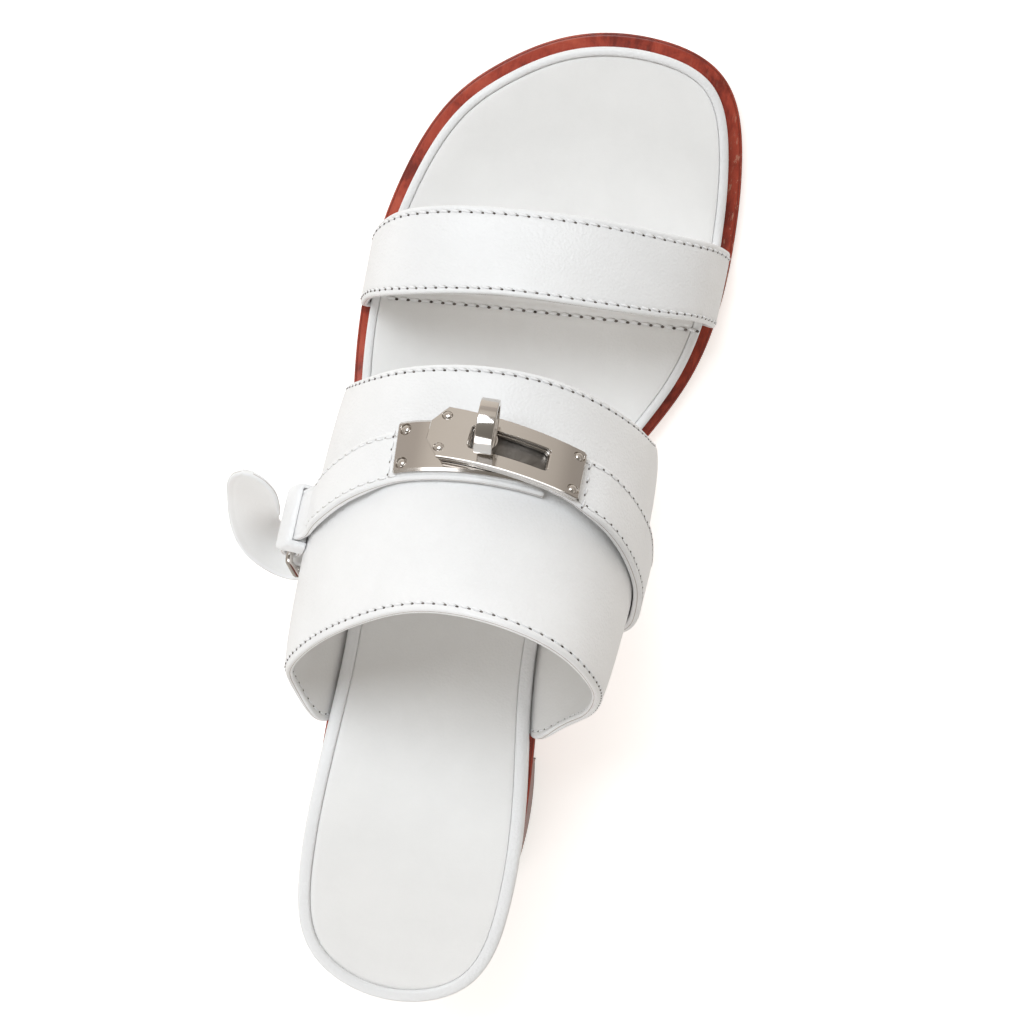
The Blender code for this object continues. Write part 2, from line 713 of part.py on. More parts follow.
# The free tail's middle line from its root: across, along, up, twist in quarter turns, share of width.
TAIL_ROWS = [
    (-1.6, -0.9, -1.1, 0.0, 1.0),
    (-4.2, -1.0, -1.2, 0.02, 1.0),
    (-7.3, 0.0, -0.1, 0.08, 1.0),
    (-9.8, 1.9, 1.8, 0.22, 1.0),
    (-11.4, 4.2, 4.0, 0.42, 1.0),
    (-12.3, 7.0, 6.7, 0.66, 1.0),
    (-12.7, 10.2, 9.8, 0.87, 1.03),
    (-12.9, 13.6, 13.2, 1.0, 1.05),
    (-13.3, 16.6, 16.3, 1.0, 0.97),
    (-13.7, 18.6, 18.3, 1.0, 0.78),
    (-14.0, 20.0, 19.7, 1.0, 0.50),
    (-14.2, 20.7, 20.4, 1.0, 0.24),
]
TAIL_ROOT = BAR_LOWER + 3.4
TAIL_LEAVES = 0.5  # how far the tail has lifted at its root


def side_strap(collection):
    """From the sole up to the buckle, round its lower bar, down, and out into the free curling tail."""
    run = [(d, BELT_MIDDLE) for d in np.linspace(BELT_FOOT, BAR_LOWER + 1.0, 8)]
    turns = np.radians(np.linspace(250.0, 90.0, 9))
    run += [(BAR_LOWER + TURN_RADIUS * np.cos(a), BAR_LIFT + TURN_RADIUS * np.sin(a)) for a in turns]
    outer = BAR_LIFT + TURN_RADIUS
    run += [(BAR_LOWER + 1.8, outer + 0.1), (TAIL_ROOT, outer + TAIL_LEAVES)]
    rows = strap_rows(lateral_line, run, SIDE_HALF)
    root = on_line(lateral_line, TAIL_ROOT, 0.0, outer + TAIL_LEAVES)
    start = np.array(rows[-1][-1]) - np.array(rows[-1][0])
    start /= np.linalg.norm(start)
    finish = np.array([-0.99, -0.03, -0.14])
    for across, along, up, twist, share in TAIL_ROWS:
        width = start * np.cos(twist * np.pi / 2.0) + finish * np.sin(twist * np.pi / 2.0)
        width *= SIDE_HALF * share / np.linalg.norm(width)
        centre = root + np.array([across, along, up])
        rows.append([centre + width * k for k in np.linspace(-1.0, 1.0, 4)])
    outside = on_line(lateral_line, run[4][0], 0.0, 40.0)
    return strap_sheet("side_strap", np.array(rows), (4, outside), SIDE_BELT, collection)


def keeper(collection):
    """A leather bridge over the belt, whose two feet stand on the band beside it."""
    inner = SIDE_HALF + GAP
    outer = inner + KEEPER
    loops = []
    for d in np.linspace(KEEPER_FROM, KEEPER_TO, 4):
        low = lateral_middle(d) + SIDE_BELT / 2.0 + GAP
        top = low + KEEPER
        corners = [(-outer, GAP), (-outer, top - 1.2), (-outer + 0.4, top - 0.35), (-inner, top)]
        corners += [(-w, lift) for w, lift in reversed(corners)]
        corners += [(inner, GAP), (inner, low), (-inner, low), (-inner, GAP)]
        loops.append(np.array([on_line(lateral_line, d, *corner) for corner in corners]))
    size = len(loops[0])
    last = (len(loops) - 1) * size
    ends = [(0, 1, 10, 11), (1, 2, 10), (2, 3, 10), (3, 4, 9, 10), (4, 5, 9), (5, 6, 9), (6, 7, 8, 9)]
    ends += [tuple(last + i for i in end) for end in ends]
    faces = loop_faces(len(loops), size) + ends
    return new_part("keeper", np.vstack(loops), faces, LEATHER_WHITE, collection)


def side_buckle(collection):
    """A frame of round wire. The belt turns round its upper bar and the side strap round its lower one."""
    corner = 1.2
    rows = [
        (BAR_UPPER, -BUCKLE_HALF + corner),
        (BAR_UPPER, 0.0),
        (BAR_UPPER, BUCKLE_HALF - corner),
        (BAR_UPPER + 0.35 * corner, BUCKLE_HALF - 0.35 * corner),
        (BAR_UPPER + corner, BUCKLE_HALF),
        (BAR_LOWER - corner, BUCKLE_HALF),
        (BAR_LOWER - 0.35 * corner, BUCKLE_HALF - 0.35 * corner),
        (BAR_LOWER, BUCKLE_HALF - corner),
        (BAR_LOWER, 0.0),
        (BAR_LOWER, -BUCKLE_HALF + corner),
        (BAR_LOWER - 0.35 * corner, -BUCKLE_HALF + 0.35 * corner),
        (BAR_LOWER - corner, -BUCKLE_HALF),
        (BAR_UPPER + corner, -BUCKLE_HALF),
        (BAR_UPPER + 0.35 * corner, -BUCKLE_HALF + 0.35 * corner),
    ]
    curve = bpy.data.curves.new("side_buckle", "CURVE")
    curve.dimensions = "3D"
    curve.bevel_depth = BAR * MM
    curve.bevel_resolution = 2
    spline = curve.splines.new("POLY")
    spline.points.add(len(rows) - 1)
    for point, (d, w) in zip(spline.points, rows):
        point.co = (*place(on_line(lateral_line, d, w, BAR_LIFT))[0], 1.0)
    spline.use_cyclic_u = True
    curve.materials.append(material("side_buckle", NICKEL))
    part = bpy.data.objects.new("side_buckle", curve)
    collection.objects.link(part)
    return part


# ---------------------------------------------------------------- the clasp


def clasp_plate(collection):
    high = PLATE_LIFT + FIXED_PLATE
    stations = [(d, PLATE_HALF, PLATE_LIFT, high) for d in np.linspace(PLATE_FROM, PLATE_TO - 0.4, 15)]
    stations.append((PLATE_TO, PLATE_HALF - 0.4, PLATE_LIFT, high))
    return belt_block("clasp_plate", fixed_line, stations, NICKEL, collection)


def clasp_slotted_plate(collection, slot):
    stations = [(d, half, SLOTTED_LIFT, SLOTTED_TOP) for d, half in slotted_outline()]
    part = belt_block("clasp_slotted_plate", slotted_line, stations, NICKEL, collection)
    cut(part, slot)
    return part


def standing(line, distance, width, lift):
    """A matrix standing on the belt: X along it to the lateral side, Y to the heel, Z off the foot."""
    origin = on_line(line, distance, width, lift)
    above = place(on_line(line, distance, width, lift + 1.0))[0]
    right = place(on_line(line, distance, width + 1.0, lift))[0]
    origin = Vector(place(origin)[0])
    z = (Vector(above) - origin).normalized()
    y = Vector(right) - origin
    y = (y - z * y.dot(z)).normalized()
    x = y.cross(z)
    return Matrix.Translation(origin) @ Matrix((x, y, z)).transposed().to_4x4()


def turned(name, profile, axis, steps, look, matrix, collection):
    """A lathe-turned solid: a closed profile of (radius, height) turned round the local axis."""
    mesh = bpy.data.meshes.new(name)
    corners = [(h, r, 0.0) if axis == "X" else (r, 0.0, h) for r, h in profile]
    points = [(a * MM, b * MM, c * MM) for a, b, c in corners]
    edges = [(i, (i + 1) % len(points)) for i in range(len(points))]
    mesh.from_pydata(points, edges, [])
    mesh.materials.append(material(name, look))
    part = bpy.data.objects.new(name, mesh)
    part.matrix_world = matrix
    collection.objects.link(part)
    screw = part.modifiers.new("turned", "SCREW")
    screw.axis = axis
    screw.steps = steps
    screw.render_steps = steps
    screw.use_merge_vertices = True
    screw.merge_threshold = 0.00001
    screw.use_normal_calculate = True
    return part


def ring_line(distance):
    return slotted_line(distance)[0], RING_TURN


def ring_matrix(lift):
    upright = standing(ring_line, RING_AT - RING_UPRIGHT, 0.0, SLOTTED_TOP)
    foot = Vector(place(on_line(ring_line, RING_AT, 0.0, SLOTTED_TOP))[0])
    upright.translation = foot + upright.col[2].xyz * (lift - SLOTTED_TOP) * MM
    return upright


def turn_ring(collection, cutters_collection):
    """A thick disc with a hole in its thin web, standing across the slot on a pin that turns in the post."""
    rim, web, bevel = RING_WIDE / 2.0, WEB_WIDE / 2.0, 0.3
    profile = [
        (RING_HOLE, -web),
        (RIM_INNER - 0.3, -web),
        (RIM_INNER, -rim),
        (RING_RADIUS - bevel, -rim),
        (RING_RADIUS, -rim + bevel),
        (RING_RADIUS, rim - bevel),
        (RING_RADIUS - bevel, rim),
        (RIM_INNER, rim),
        (RIM_INNER - 0.3, web),
        (RING_HOLE, web),
    ]
    part = turned("turn_ring", profile, "X", 40, NICKEL, ring_matrix(RING_LIFT), collection)
    pin_foot = LAP_LIFT + 0.1 - RING_LIFT
    pin_head = -RING_RADIUS + 0.9
    pin = bpy.data.objects.new("ring_pin", bpy.data.meshes.new("ring_pin"))
    shape = bmesh.new()
    bmesh.ops.create_cone(
        shape,
        cap_ends=True,
        segments=20,
        radius1=PIN * MM,
        radius2=PIN * MM,
        depth=(pin_head - pin_foot) * MM,
        matrix=Matrix.Translation((0.0, 0.0, (pin_head + pin_foot) / 2.0 * MM)),
    )
    shape.to_mesh(pin.data)
    shape.free()
    pin.matrix_world = part.matrix_world
    pin.hide_render = True
    pin.display_type = "WIRE"
    cutters_collection.objects.link(pin)
    cut(part, pin, "UNION")
    return part


def clasp_post(collection):
    foot = PLATE_LIFT + FIXED_PLATE + GAP
    height = SLOTTED_TOP + GAP - foot
    bevel = 0.2
    profile = [
        (POST_BORE, height),
        (POST_RADIUS - bevel, height),
        (POST_RADIUS, height - bevel),
        (POST_RADIUS, 0.0),
        (POST_BORE, 0.0),
    ]
    return turned("clasp_post", profile, "Z", 28, NICKEL, ring_matrix(foot), collection)


def rivet(name, matrix, collection):
    shape = bmesh.new()
    flatten = Matrix.Diagonal((1.0, 1.0, RIVET_HEIGHT / RIVET_RADIUS, 1.0))
    bmesh.ops.create_uvsphere(shape, u_segments=14, v_segments=8, radius=RIVET_RADIUS * MM, matrix=flatten)
    everything = shape.verts[:] + shape.edges[:] + shape.faces[:]
    down = (0.0, 0.0, -1.0)
    bmesh.ops.bisect_plane(shape, geom=everything, plane_co=(0, 0, 0), plane_no=down, clear_outer=True)
    bmesh.ops.holes_fill(shape, edges=shape.edges[:], sides=0)
    mesh = bpy.data.meshes.new(name)
    shape.to_mesh(mesh)
    shape.free()
    mesh.materials.append(material(name, NICKEL))
    part = bpy.data.objects.new(name, mesh)
    part.matrix_world = matrix
    collection.objects.link(part)
    return part


def rivets(collection):
    fixed_top = PLATE_LIFT + FIXED_PLATE + RIVET_GAP
    slotted_top = SLOTTED_TOP + RIVET_GAP
    places = [
        (fixed_line, 22.3, 4.1, fixed_top),
        (slotted_line, 12.45, 4.0, slotted_top),
        (slotted_line, -13.2, 4.35, slotted_top),
    ]
    number = 1
    for line, distance, width, lift in places:
        for side in (-1.0, 1.0):
            rivet(f"rivet_{number}", standing(line, distance, side * width, lift), collection)
            number += 1


# ---------------------------------------------------------------- the collection

for old in list(bpy.data.objects):
    bpy.data.objects.remove(old, do_unlink=True)

sandal = bpy.data.collections.new("block_heel_sandal")
cutters = bpy.data.collections.new("cutters")
bpy.context.scene.collection.children.link(sandal)
bpy.context.scene.collection.children.link(cutters)

outsole(sandal)
heel_block(sandal)
footbed(sandal)
insole(sandal)
front_strap(sandal)
instep_band(sandal)
slot = slot_cutter(cutters)
belt_medial(sandal, slot)
belt_lateral(sandal)
side_strap(sandal)
keeper(sandal)
side_buckle(sandal)
clasp_plate(sandal)
clasp_slotted_plate(sandal, slot)
clasp_post(sandal)
turn_ring(sandal, cutters)
rivets(sandal)
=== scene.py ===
# %% [markdown]
# # A block-heel sandal, cell by cell
# This lesson dresses a bare model of one left sandal: leather, stitches, a stacked heel and a
# turn clasp. The bare model is loaded first and stays as the frame that every piece is built on.
# A visible piece is made afresh where the bare one is too coarse, from the same sizes.

import bmesh
import bpy
import numpy as np
from mathutils import Matrix, Vector


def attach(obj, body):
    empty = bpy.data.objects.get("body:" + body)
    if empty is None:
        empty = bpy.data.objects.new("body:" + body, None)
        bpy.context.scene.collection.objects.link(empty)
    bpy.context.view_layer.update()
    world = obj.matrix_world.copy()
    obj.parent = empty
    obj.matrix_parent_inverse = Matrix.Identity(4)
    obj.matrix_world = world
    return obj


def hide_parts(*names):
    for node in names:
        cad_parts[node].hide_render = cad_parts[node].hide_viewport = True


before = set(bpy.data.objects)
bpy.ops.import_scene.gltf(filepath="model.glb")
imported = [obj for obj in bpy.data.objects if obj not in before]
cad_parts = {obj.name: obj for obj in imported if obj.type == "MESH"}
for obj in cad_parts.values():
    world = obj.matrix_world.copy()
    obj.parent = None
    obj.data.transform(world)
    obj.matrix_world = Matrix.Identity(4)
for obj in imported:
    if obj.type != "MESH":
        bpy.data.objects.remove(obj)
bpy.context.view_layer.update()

# %% [markdown]
# ## The camera
# The sandal is looked at from above the toes, as on a packing table. A camera is a position and a
# turn. Here the turn is first given for a view of the forefoot, then it is swung by the shortest
# way to the middle of the shoe, so that the roll of the picture stays what it was.

# %% Camera
CAMERA_AT = Vector((-0.03369, -0.09609, 0.54146))
FOREFOOT_RIGHT = Vector((-0.97743, -0.21113, -0.00753))
FOREFOOT_UP = Vector((0.21064, -0.97125, -0.11093))
AIM = Vector((-0.0145, -0.0042, 0.045))
LENS_MM, SENSOR_MM = 76.0, 36.0

right = FOREFOOT_RIGHT.normalized()
back = right.cross(FOREFOOT_UP).normalized()
turn = Matrix((right, back.cross(right), back)).transposed()
swing = back.rotation_difference((CAMERA_AT - AIM).normalized()).to_matrix()
camera_data = bpy.data.cameras.new("camera")
camera_data.lens = LENS_MM
camera_data.sensor_width = SENSOR_MM
camera = bpy.data.objects.new("camera", camera_data)
camera.matrix_world = Matrix.Translation(CAMERA_AT) @ (swing @ turn).to_4x4()
bpy.context.scene.collection.objects.link(camera)
bpy.context.scene.camera = camera
print("camera", round((CAMERA_AT - AIM).length * 1000), "mm from the shoe, lens", LENS_MM, "mm")

# %% [markdown]
# ## Millimetres on the last
# A shoemaker measures on the last: across the foot, along it from the heel to the toe, and up
# from the floor. All shapes below are in those directions, in millimetres, and place() turns them
# into Blender's metres. Keeping one such function means that no piece can drift from another.

# %% The last's directions
MM = 0.001
MIDDLE_ACROSS = -8.21
MIDDLE_ALONG = 116.7


def place(points):
    """World metres from millimetres across (medial positive), along and up."""
    points = np.asarray(points, float).reshape(-1, 3)
    x = MIDDLE_ACROSS - points[:, 0]
    y = MIDDLE_ALONG - points[:, 1]
    return np.column_stack([x, y, points[:, 2]]) * MM


def place_direction(directions):
    """A direction needs no shift, only the two mirrored axes."""
    return np.asarray(directions, float).reshape(-1, 3) * (-1.0, -1.0, 1.0)


print("heel point lies at", place([0.0, 0.0, 0.0])[0].round(4))

# %% [markdown]
# ## Smooth curves through a few points
# Every outline here is a short list of points with a smooth curve through them. The curve is a
# cubic spline: between two points it is a cubic, and neighbouring cubics share slope and bend.
# Finding the slopes is one small set of linear equations.

# %% Splines


def smooth_step(x, start, end):
    t = np.clip((np.asarray(x, float) - start) / (end - start), 0.0, 1.0)
    return t * t * (3.0 - 2.0 * t)


def travelled(points):
    """The distance run along a line of points."""
    return np.concatenate([[0.0], np.cumsum(np.linalg.norm(np.diff(points, axis=0), axis=1))])


def unit(directions):
    return directions / np.linalg.norm(directions, axis=-1)[..., None]


def slopes(points, steps, closed):
    count = len(points)
    weights = np.zeros((count, count))
    right_side = np.zeros_like(points)
    for i in range(count):
        if closed or 0 < i < count - 1:
            before, after = i - 1, (i + 1) % count
            a, b = steps[i - 1], steps[i]
            weights[i, i] = 2.0 * (a + b)
            weights[i, before] += b
            weights[i, after] += a
            rise_in = b * (points[i] - points[before]) / a
            rise_out = a * (points[after] - points[i]) / b
            right_side[i] = 3.0 * (rise_in + rise_out)
        else:
            first = min(i, count - 2)
            weights[i, i] = 2.0
            weights[i, 1 if i == 0 else i - 1] = 1.0
            right_side[i] = 3.0 * (points[first + 1] - points[first]) / steps[first]
    return np.linalg.solve(weights, right_side)


def smooth_curve(points, count, closed=False):
    """Evenly spaced points of the smooth curve through the given ones."""
    points = np.asarray(points, float)
    ends = np.vstack([points, points[:1]]) if closed else points
    steps = np.linalg.norm(np.diff(ends, axis=0), axis=1)
    knots = travelled(ends)
    tangents = slopes(points, steps, closed)
    tangents = np.vstack([tangents, tangents[:1]]) if closed else tangents
    distance = np.linspace(0.0, knots[-1], count, endpoint=not closed)
    i = np.clip(np.searchsorted(knots, distance, "right") - 1, 0, len(steps) - 1)
    step = steps[i][:, None]
    t = (distance - knots[i])[:, None] / step
    here = (2 * t**3 - 3 * t**2 + 1) * ends[i] + (3 * t**2 - 2 * t**3) * ends[i + 1]
    bend = (t**3 - 2 * t**2 + t) * tangents[i] + (t**3 - t**2) * tangents[i + 1]
    return here + bend * step


# %% [markdown]
# ## The outline of the shoe
# The footbed's edge is the line that all else hangs on. It is given as widths at stations from
# heel to toe, because that is how a last is checked with callipers. The side view is one smooth
# ramp from the forefoot up to the heel seat, with a little spring at the toe.

# %% Outline and heights
FOOTBED_EDGE = [
    # along, medial, lateral
    (7.1, 20.1, -20.1),
    (27.6, 25.4, -26.1),
    (55.0, 23.4, -26.8),
    (85.0, 18.5, -27.6),
    (110.0, 20.1, -32.1),
    (135.0, 28.9, -37.6),
    (155.0, 38.1, -39.8),
    (174.0, 41.6, -38.8),
    (193.0, 41.2, -34.8),
    (211.0, 38.6, -26.3),
]
HEEL_POINT = (0.0, -1.5)
TOE_POINTS = [(31.2, 226.6), (14.6, 231.4), (-5.2, 227.5), (-18.0, 219.3)]
HEEL_RISE, RISE_STARTS, RISE_ENDS = 41.1, 153.1, 25.6
TOE_SPRING, SPRING_STARTS, TOE_TIP = 2.0, 190.0, 231.6
SOLE_FORE, SOLE_WAIST, BALL_FROM = 5.0, 3.6, 110.0
WELT_HEEL, WELT_BALL, WELT_TOE = -0.7, 3.2, 1.0
RIM, TRAY, GAP, WALL, TUCK = 6.0, 2.2, 0.3, 1.8, 8.0

medial_edge = [(row[1], row[0]) for row in FOOTBED_EDGE]
lateral_edge = [(row[2], row[0]) for row in reversed(FOOTBED_EDGE)]
OUTLINE_COUNT = 1440
OUTLINE = smooth_curve([HEEL_POINT, *medial_edge, *TOE_POINTS, *lateral_edge], OUTLINE_COUNT, True)
turned_outline = np.roll(OUTLINE, -int(OUTLINE[:, 1].argmin()), axis=0)
toe_index = int(turned_outline[:, 1].argmax())
MEDIAL_SIDE = turned_outline[: toe_index + 1]
LATERAL_SIDE = np.vstack([turned_outline[toe_index:], turned_outline[:1]])[::-1]


def edge(along, side):
    """The footbed's edge: side 1 is medial, -1 is lateral."""
    line = MEDIAL_SIDE if side > 0 else LATERAL_SIDE
    return np.interp(along, line[:, 1], line[:, 0])


def edge_points(along, side):
    return np.column_stack([edge(along, side), along])


def sole_top(along):
    along = np.asarray(along, float)
    heel = HEEL_RISE * (1.0 - smooth_step(along, RISE_ENDS, RISE_STARTS))
    past = np.clip((along - SPRING_STARTS) / (TOE_TIP - SPRING_STARTS), 0.0, None)
    return SOLE_FORE + heel + TOE_SPRING * past**2


def sole_bottom(along):
    ball = smooth_step(along, BALL_FROM, RISE_STARTS)
    return sole_top(along) - SOLE_WAIST - (SOLE_FORE - SOLE_WAIST) * ball


def welt(along):
    """How far the outsole stands out past the footbed."""
    waist = WELT_HEEL + WELT_BALL * smooth_step(along, 25.0, 95.0)
    return waist + WELT_TOE * smooth_step(along, BALL_FROM, 225.0)


print("footbed", round(float(np.ptp(OUTLINE[:, 1])), 1), "mm long")

# %% [markdown]
# ## Looks: the helpers
# A material is a small network of nodes. The helpers below lay nodes down with their values set
# and their inputs joined, so that each finish reads as a short list. Effects that more than one
# finish uses are node groups: built once, with named inputs, and then placed where they belong.

# %% Material helpers


def feed(target, value):
    """Sets an input, or joins it where the value is another node's output."""
    if isinstance(value, bpy.types.NodeSocket):
        target.id_data.links.new(value, target)
    else:
        target.default_value = (*value, 1.0) if target.type == "RGBA" else value


def fill(made, *numbered, **values):
    """Sets a node's inputs by order, and its settings and inputs by name, with underscores for blanks.
    Anything else that has settings can be filled in by name too."""
    for name, value in values.items():
        if hasattr(made, name):
            setattr(made, name, value)
        else:
            feed(made.inputs[name.replace("_", " ")], value)
    for k, value in enumerate(numbered):
        if value is not None:
            feed(made.inputs[k], value)
    return made


def node(tree, kind, *numbered, **values):
    return fill(tree.nodes.new(kind), *numbered, **values)


def result(tree, kind, *numbered, **values):
    """The first output of a new node."""
    return node(tree, kind, *numbered, **values).outputs[0]


def own_place(tree):
    """The piece's own coordinates."""
    return node(tree, "ShaderNodeTexCoord").outputs["Object"]


def noise(tree, vector, scale, **values):
    return result(tree, "ShaderNodeTexNoise", Vector=vector, Scale=scale, **values)


def maths(tree, operation, *values):
    return result(tree, "ShaderNodeMath", *values, operation=operation)


def remapped(tree, value, **ends):
    return result(tree, "ShaderNodeMapRange", Value=value, **ends)


def bump(tree, height, strength, distance):
    return result(tree, "ShaderNodeBump", Strength=strength, Distance=distance, Height=height)


def ramp(source, stops):
    """A colour ramp: stops are (position, colour)."""
    made = node(source.id_data, "ShaderNodeValToRGB", source)
    elements = made.color_ramp.elements
    while len(elements) < len(stops):
        elements.new(0.5)
    for element, (position, colour) in zip(elements, stops):
        element.position = position
        element.color = (*colour, 1.0)
    return made.outputs["Color"]


def new_material(name, slot, colour, roughness, metallic=0.0):
    made = bpy.data.materials.new(name)
    made.use_nodes = True
    made["slot"] = slot
    shader = made.node_tree.nodes["Principled BSDF"]
    fill(shader, Base_Color=colour, Roughness=roughness, Metallic=metallic)
    return made, made.node_tree, shader


def new_tree(name, kind, inputs, outputs):
    """A node group. Sockets are {label: its kind, or a number to start from}."""
    tree = bpy.data.node_groups.new(name, kind)
    for direction, sockets in (("INPUT", inputs), ("OUTPUT", outputs)):
        for label, value in sockets.items():
            socket = value if isinstance(value, str) else type(value).__name__.title()
            made = tree.interface.new_socket(label, in_out=direction, socket_type="NodeSocket" + socket)
            if value != socket:
                made.default_value = value
    return tree, tree.nodes.new("NodeGroupInput").outputs, tree.nodes.new("NodeGroupOutput")


def placed(tree, group, **values):
    """A group's outputs, where it reads the piece's own coordinates."""
    return node(tree, "ShaderNodeGroup", node_tree=group, Vector=own_place(tree), **values).outputs


# %% [markdown]
# ## Shared effects: grain, blotches, scuffs
# Smooth calf has a grain of tiny pebbles with a slow unevenness under it. Dye on a leather sole
# soaks in unevenly, in soft clouds. Scuffs are thin, broken and all of one direction. Each of
# the three is a group that puts out a height or a mask, and never a whole shader.

# %% Three node groups
grain, given, end = new_tree(
    "leather grain", "ShaderNodeTree", {"Vector": "Vector", "Pebbles": 1700.0, "Slackness": 90.0},
    {"Height": "Float", "Unevenness": "Float"},
)
pebbles = node(grain, "ShaderNodeTexVoronoi", feature="F1", Vector=given["Vector"], Scale=given["Pebbles"])
fine = noise(grain, given["Vector"], 2600.0, Detail=2.0)
fill(
    end, Height=maths(grain, "MULTIPLY_ADD", fine, 0.35, pebbles.outputs["Distance"]),
    Unevenness=noise(grain, given["Vector"], given["Slackness"], Detail=3.0, Roughness=0.55),
)

clouds, given, end = new_tree(
    "dye clouds", "ShaderNodeTree", {"Vector": "Vector", "Size": 60.0, "Fibres": 900.0},
    {"Cloud": "Float", "Fibre": "Float"},
)
stretch = result(clouds, "ShaderNodeMapping", Vector=given["Vector"], Scale=(1.0, 0.22, 1.0))
fill(
    end, Cloud=noise(clouds, given["Vector"], given["Size"], Detail=5.0, Roughness=0.62, Distortion=0.6),
    Fibre=noise(clouds, stretch, given["Fibres"], Detail=4.0, Roughness=0.7),
)

scuffs, given, end = new_tree(
    "scuffs", "ShaderNodeTree", {"Vector": "Vector", "Size": 260.0, "Amount": 0.3}, {"Mask": "Float"}
)
streaks = result(
    scuffs, "ShaderNodeMapping", Vector=given["Vector"], Rotation=(0.0, 0.0, 0.3), Scale=(1.0, 0.3, 1.0)
)
streaks = noise(scuffs, streaks, given["Size"], Detail=6.0, Roughness=0.75)
high = maths(scuffs, "SUBTRACT", 0.82, given["Amount"])
fill(end, Mask=remapped(scuffs, streaks, From_Min=high, From_Max=maths(scuffs, "ADD", high, 0.05)))
print("groups:", grain.name, "/", clouds.name, "/", scuffs.name)

# %% [markdown]
# ## White leather, its painted edge and its lining
# The outer leather is smooth white calf: satin, with a grain that shows only where light grazes
# it. Cut edges are filled with paint, so they are smoother and shinier than the face. The lining
# is a softer, slightly warmer leather. All three share the grain group with their own values.

# %% White leathers


def white_leather(name, colour, roughness, spread, pebbles_size, strength, coat=0.0):
    made, tree, shader = new_material(name, "white_leather", colour, roughness)
    effect = placed(tree, grain, Pebbles=pebbles_size, Slackness=70.0)
    tones = [(0.3, [c * 0.972 for c in colour]), (0.7, [min(1.0, c * 1.012) for c in colour])]
    fill(
        shader, Base_Color=ramp(effect["Unevenness"], tones), Coat_Weight=coat, Coat_Roughness=0.3,
        Roughness=remapped(tree, effect["Height"], To_Min=roughness - spread, To_Max=roughness + spread),
        Normal=bump(tree, effect["Height"], strength, 0.0002),
    )
    return made


CALF = white_leather("white calf", (0.845, 0.85, 0.857), 0.40, 0.05, 1500.0, 0.4, 0.12)
EDGE_PAINT = white_leather("white edge paint", (0.85, 0.853, 0.858), 0.28, 0.04, 2600.0, 0.03)
GLUE_LINE = white_leather("line between the layers", (0.46, 0.4, 0.36), 0.6, 0.05, 1300.0, 0.1)
LINING = white_leather("white lining", (0.835, 0.832, 0.824), 0.55, 0.06, 1300.0, 0.14)
SOCK = white_leather("white sock leather", (0.858, 0.856, 0.849), 0.5, 0.05, 1500.0, 0.16)
print("white leathers:", CALF.name, EDGE_PAINT.name, LINING.name, SOCK.name)

# %% [markdown]
# ## Sole leather and the stacked heel
# The sole is thick leather, stained red-brown and waxed. The stain clouds the flat of the welt
# and runs darker at its rim, where the edge iron pressed it. Where the welt meets the footbed it
# is darkened as well, which is painted shade. The heel is stacked from lifts, so fine dark lines
# run round it at even heights; a wave of the height gives them.

# %% Stained leathers
STAIN_DARK = (0.18, 0.018, 0.008)
STAIN = (0.365, 0.043, 0.019)
STAIN_LIGHT = (0.47, 0.078, 0.038)
SCUFF_PALE = (0.52, 0.25, 0.17)


def stained_leather(name, slot, dark, middle, light):
    made, tree, shader = new_material(name, slot, middle, 0.42)
    effect = placed(tree, clouds, Size=95.0, Fibres=1100.0)
    both = maths(tree, "MULTIPLY_ADD", effect["Fibre"], 0.35, effect["Cloud"])
    return made, tree, shader, effect, ramp(both, [(0.52, dark), (0.66, middle), (0.86, light)])


def mixed(tree, factor, first, second):
    """Mixes two colours, each a socket or a value."""
    made = node(tree, "ShaderNodeMix", factor, data_type="RGBA")
    feed(made.inputs[6], first)
    feed(made.inputs[7], second)
    return made.outputs[2]


def attribute(tree, name):
    return node(tree, "ShaderNodeAttribute", attribute_name=name).outputs["Fac"]


SOLE_STAIN, tree, shader, effect, tone = stained_leather(
    "stained sole leather", "sole_leather", STAIN_DARK, STAIN, STAIN_LIGHT
)
scuffed = placed(tree, scuffs, Size=800.0, Amount=0.245)["Mask"]
worn = maths(tree, "MULTIPLY", scuffed, attribute(tree, "wear"))
# The rim attribute darkens the edge as the iron does, and the welt by the footbed as painted shade.
rim_and_shade_darkened = mixed(tree, attribute(tree, "rim"), tone, STAIN_DARK)
fill(
    shader, Base_Color=mixed(tree, worn, rim_and_shade_darkened, SCUFF_PALE),
    Normal=bump(tree, effect["Fibre"], 0.25, 0.0003),
    Roughness=remapped(tree, effect["Cloud"], To_Min=0.3, To_Max=0.5),
)

LIFT_MM, LIFT_LINE = 3.1, 0.00035
HEEL_STAIN, tree, shader, effect, tone = stained_leather(
    "stacked heel leather", "heel_leather", (0.10, 0.014, 0.008), (0.175, 0.030, 0.017), (0.24, 0.05, 0.03)
)
height = node(tree, "ShaderNodeSeparateXYZ", own_place(tree)).outputs["Z"]
lifts = maths(tree, "PINGPONG", height, LIFT_MM * MM / 2.0)
line = remapped(tree, lifts, From_Min=0.0, From_Max=LIFT_LINE, To_Min=1.0, To_Max=0.0)
colour = mixed(tree, maths(tree, "MULTIPLY", line, 0.55), tone, STAIN_DARK)
fill(
    shader, Base_Color=mixed(tree, attribute(tree, "rim"), colour, (0.02, 0.008, 0.006)),
    Coat_Weight=0.25, Coat_Roughness=0.22,
    Normal=bump(tree, maths(tree, "SUBTRACT", effect["Fibre"], line), 0.3, 0.0002),
)
print("stained leathers:", SOLE_STAIN.name, HEEL_STAIN.name)
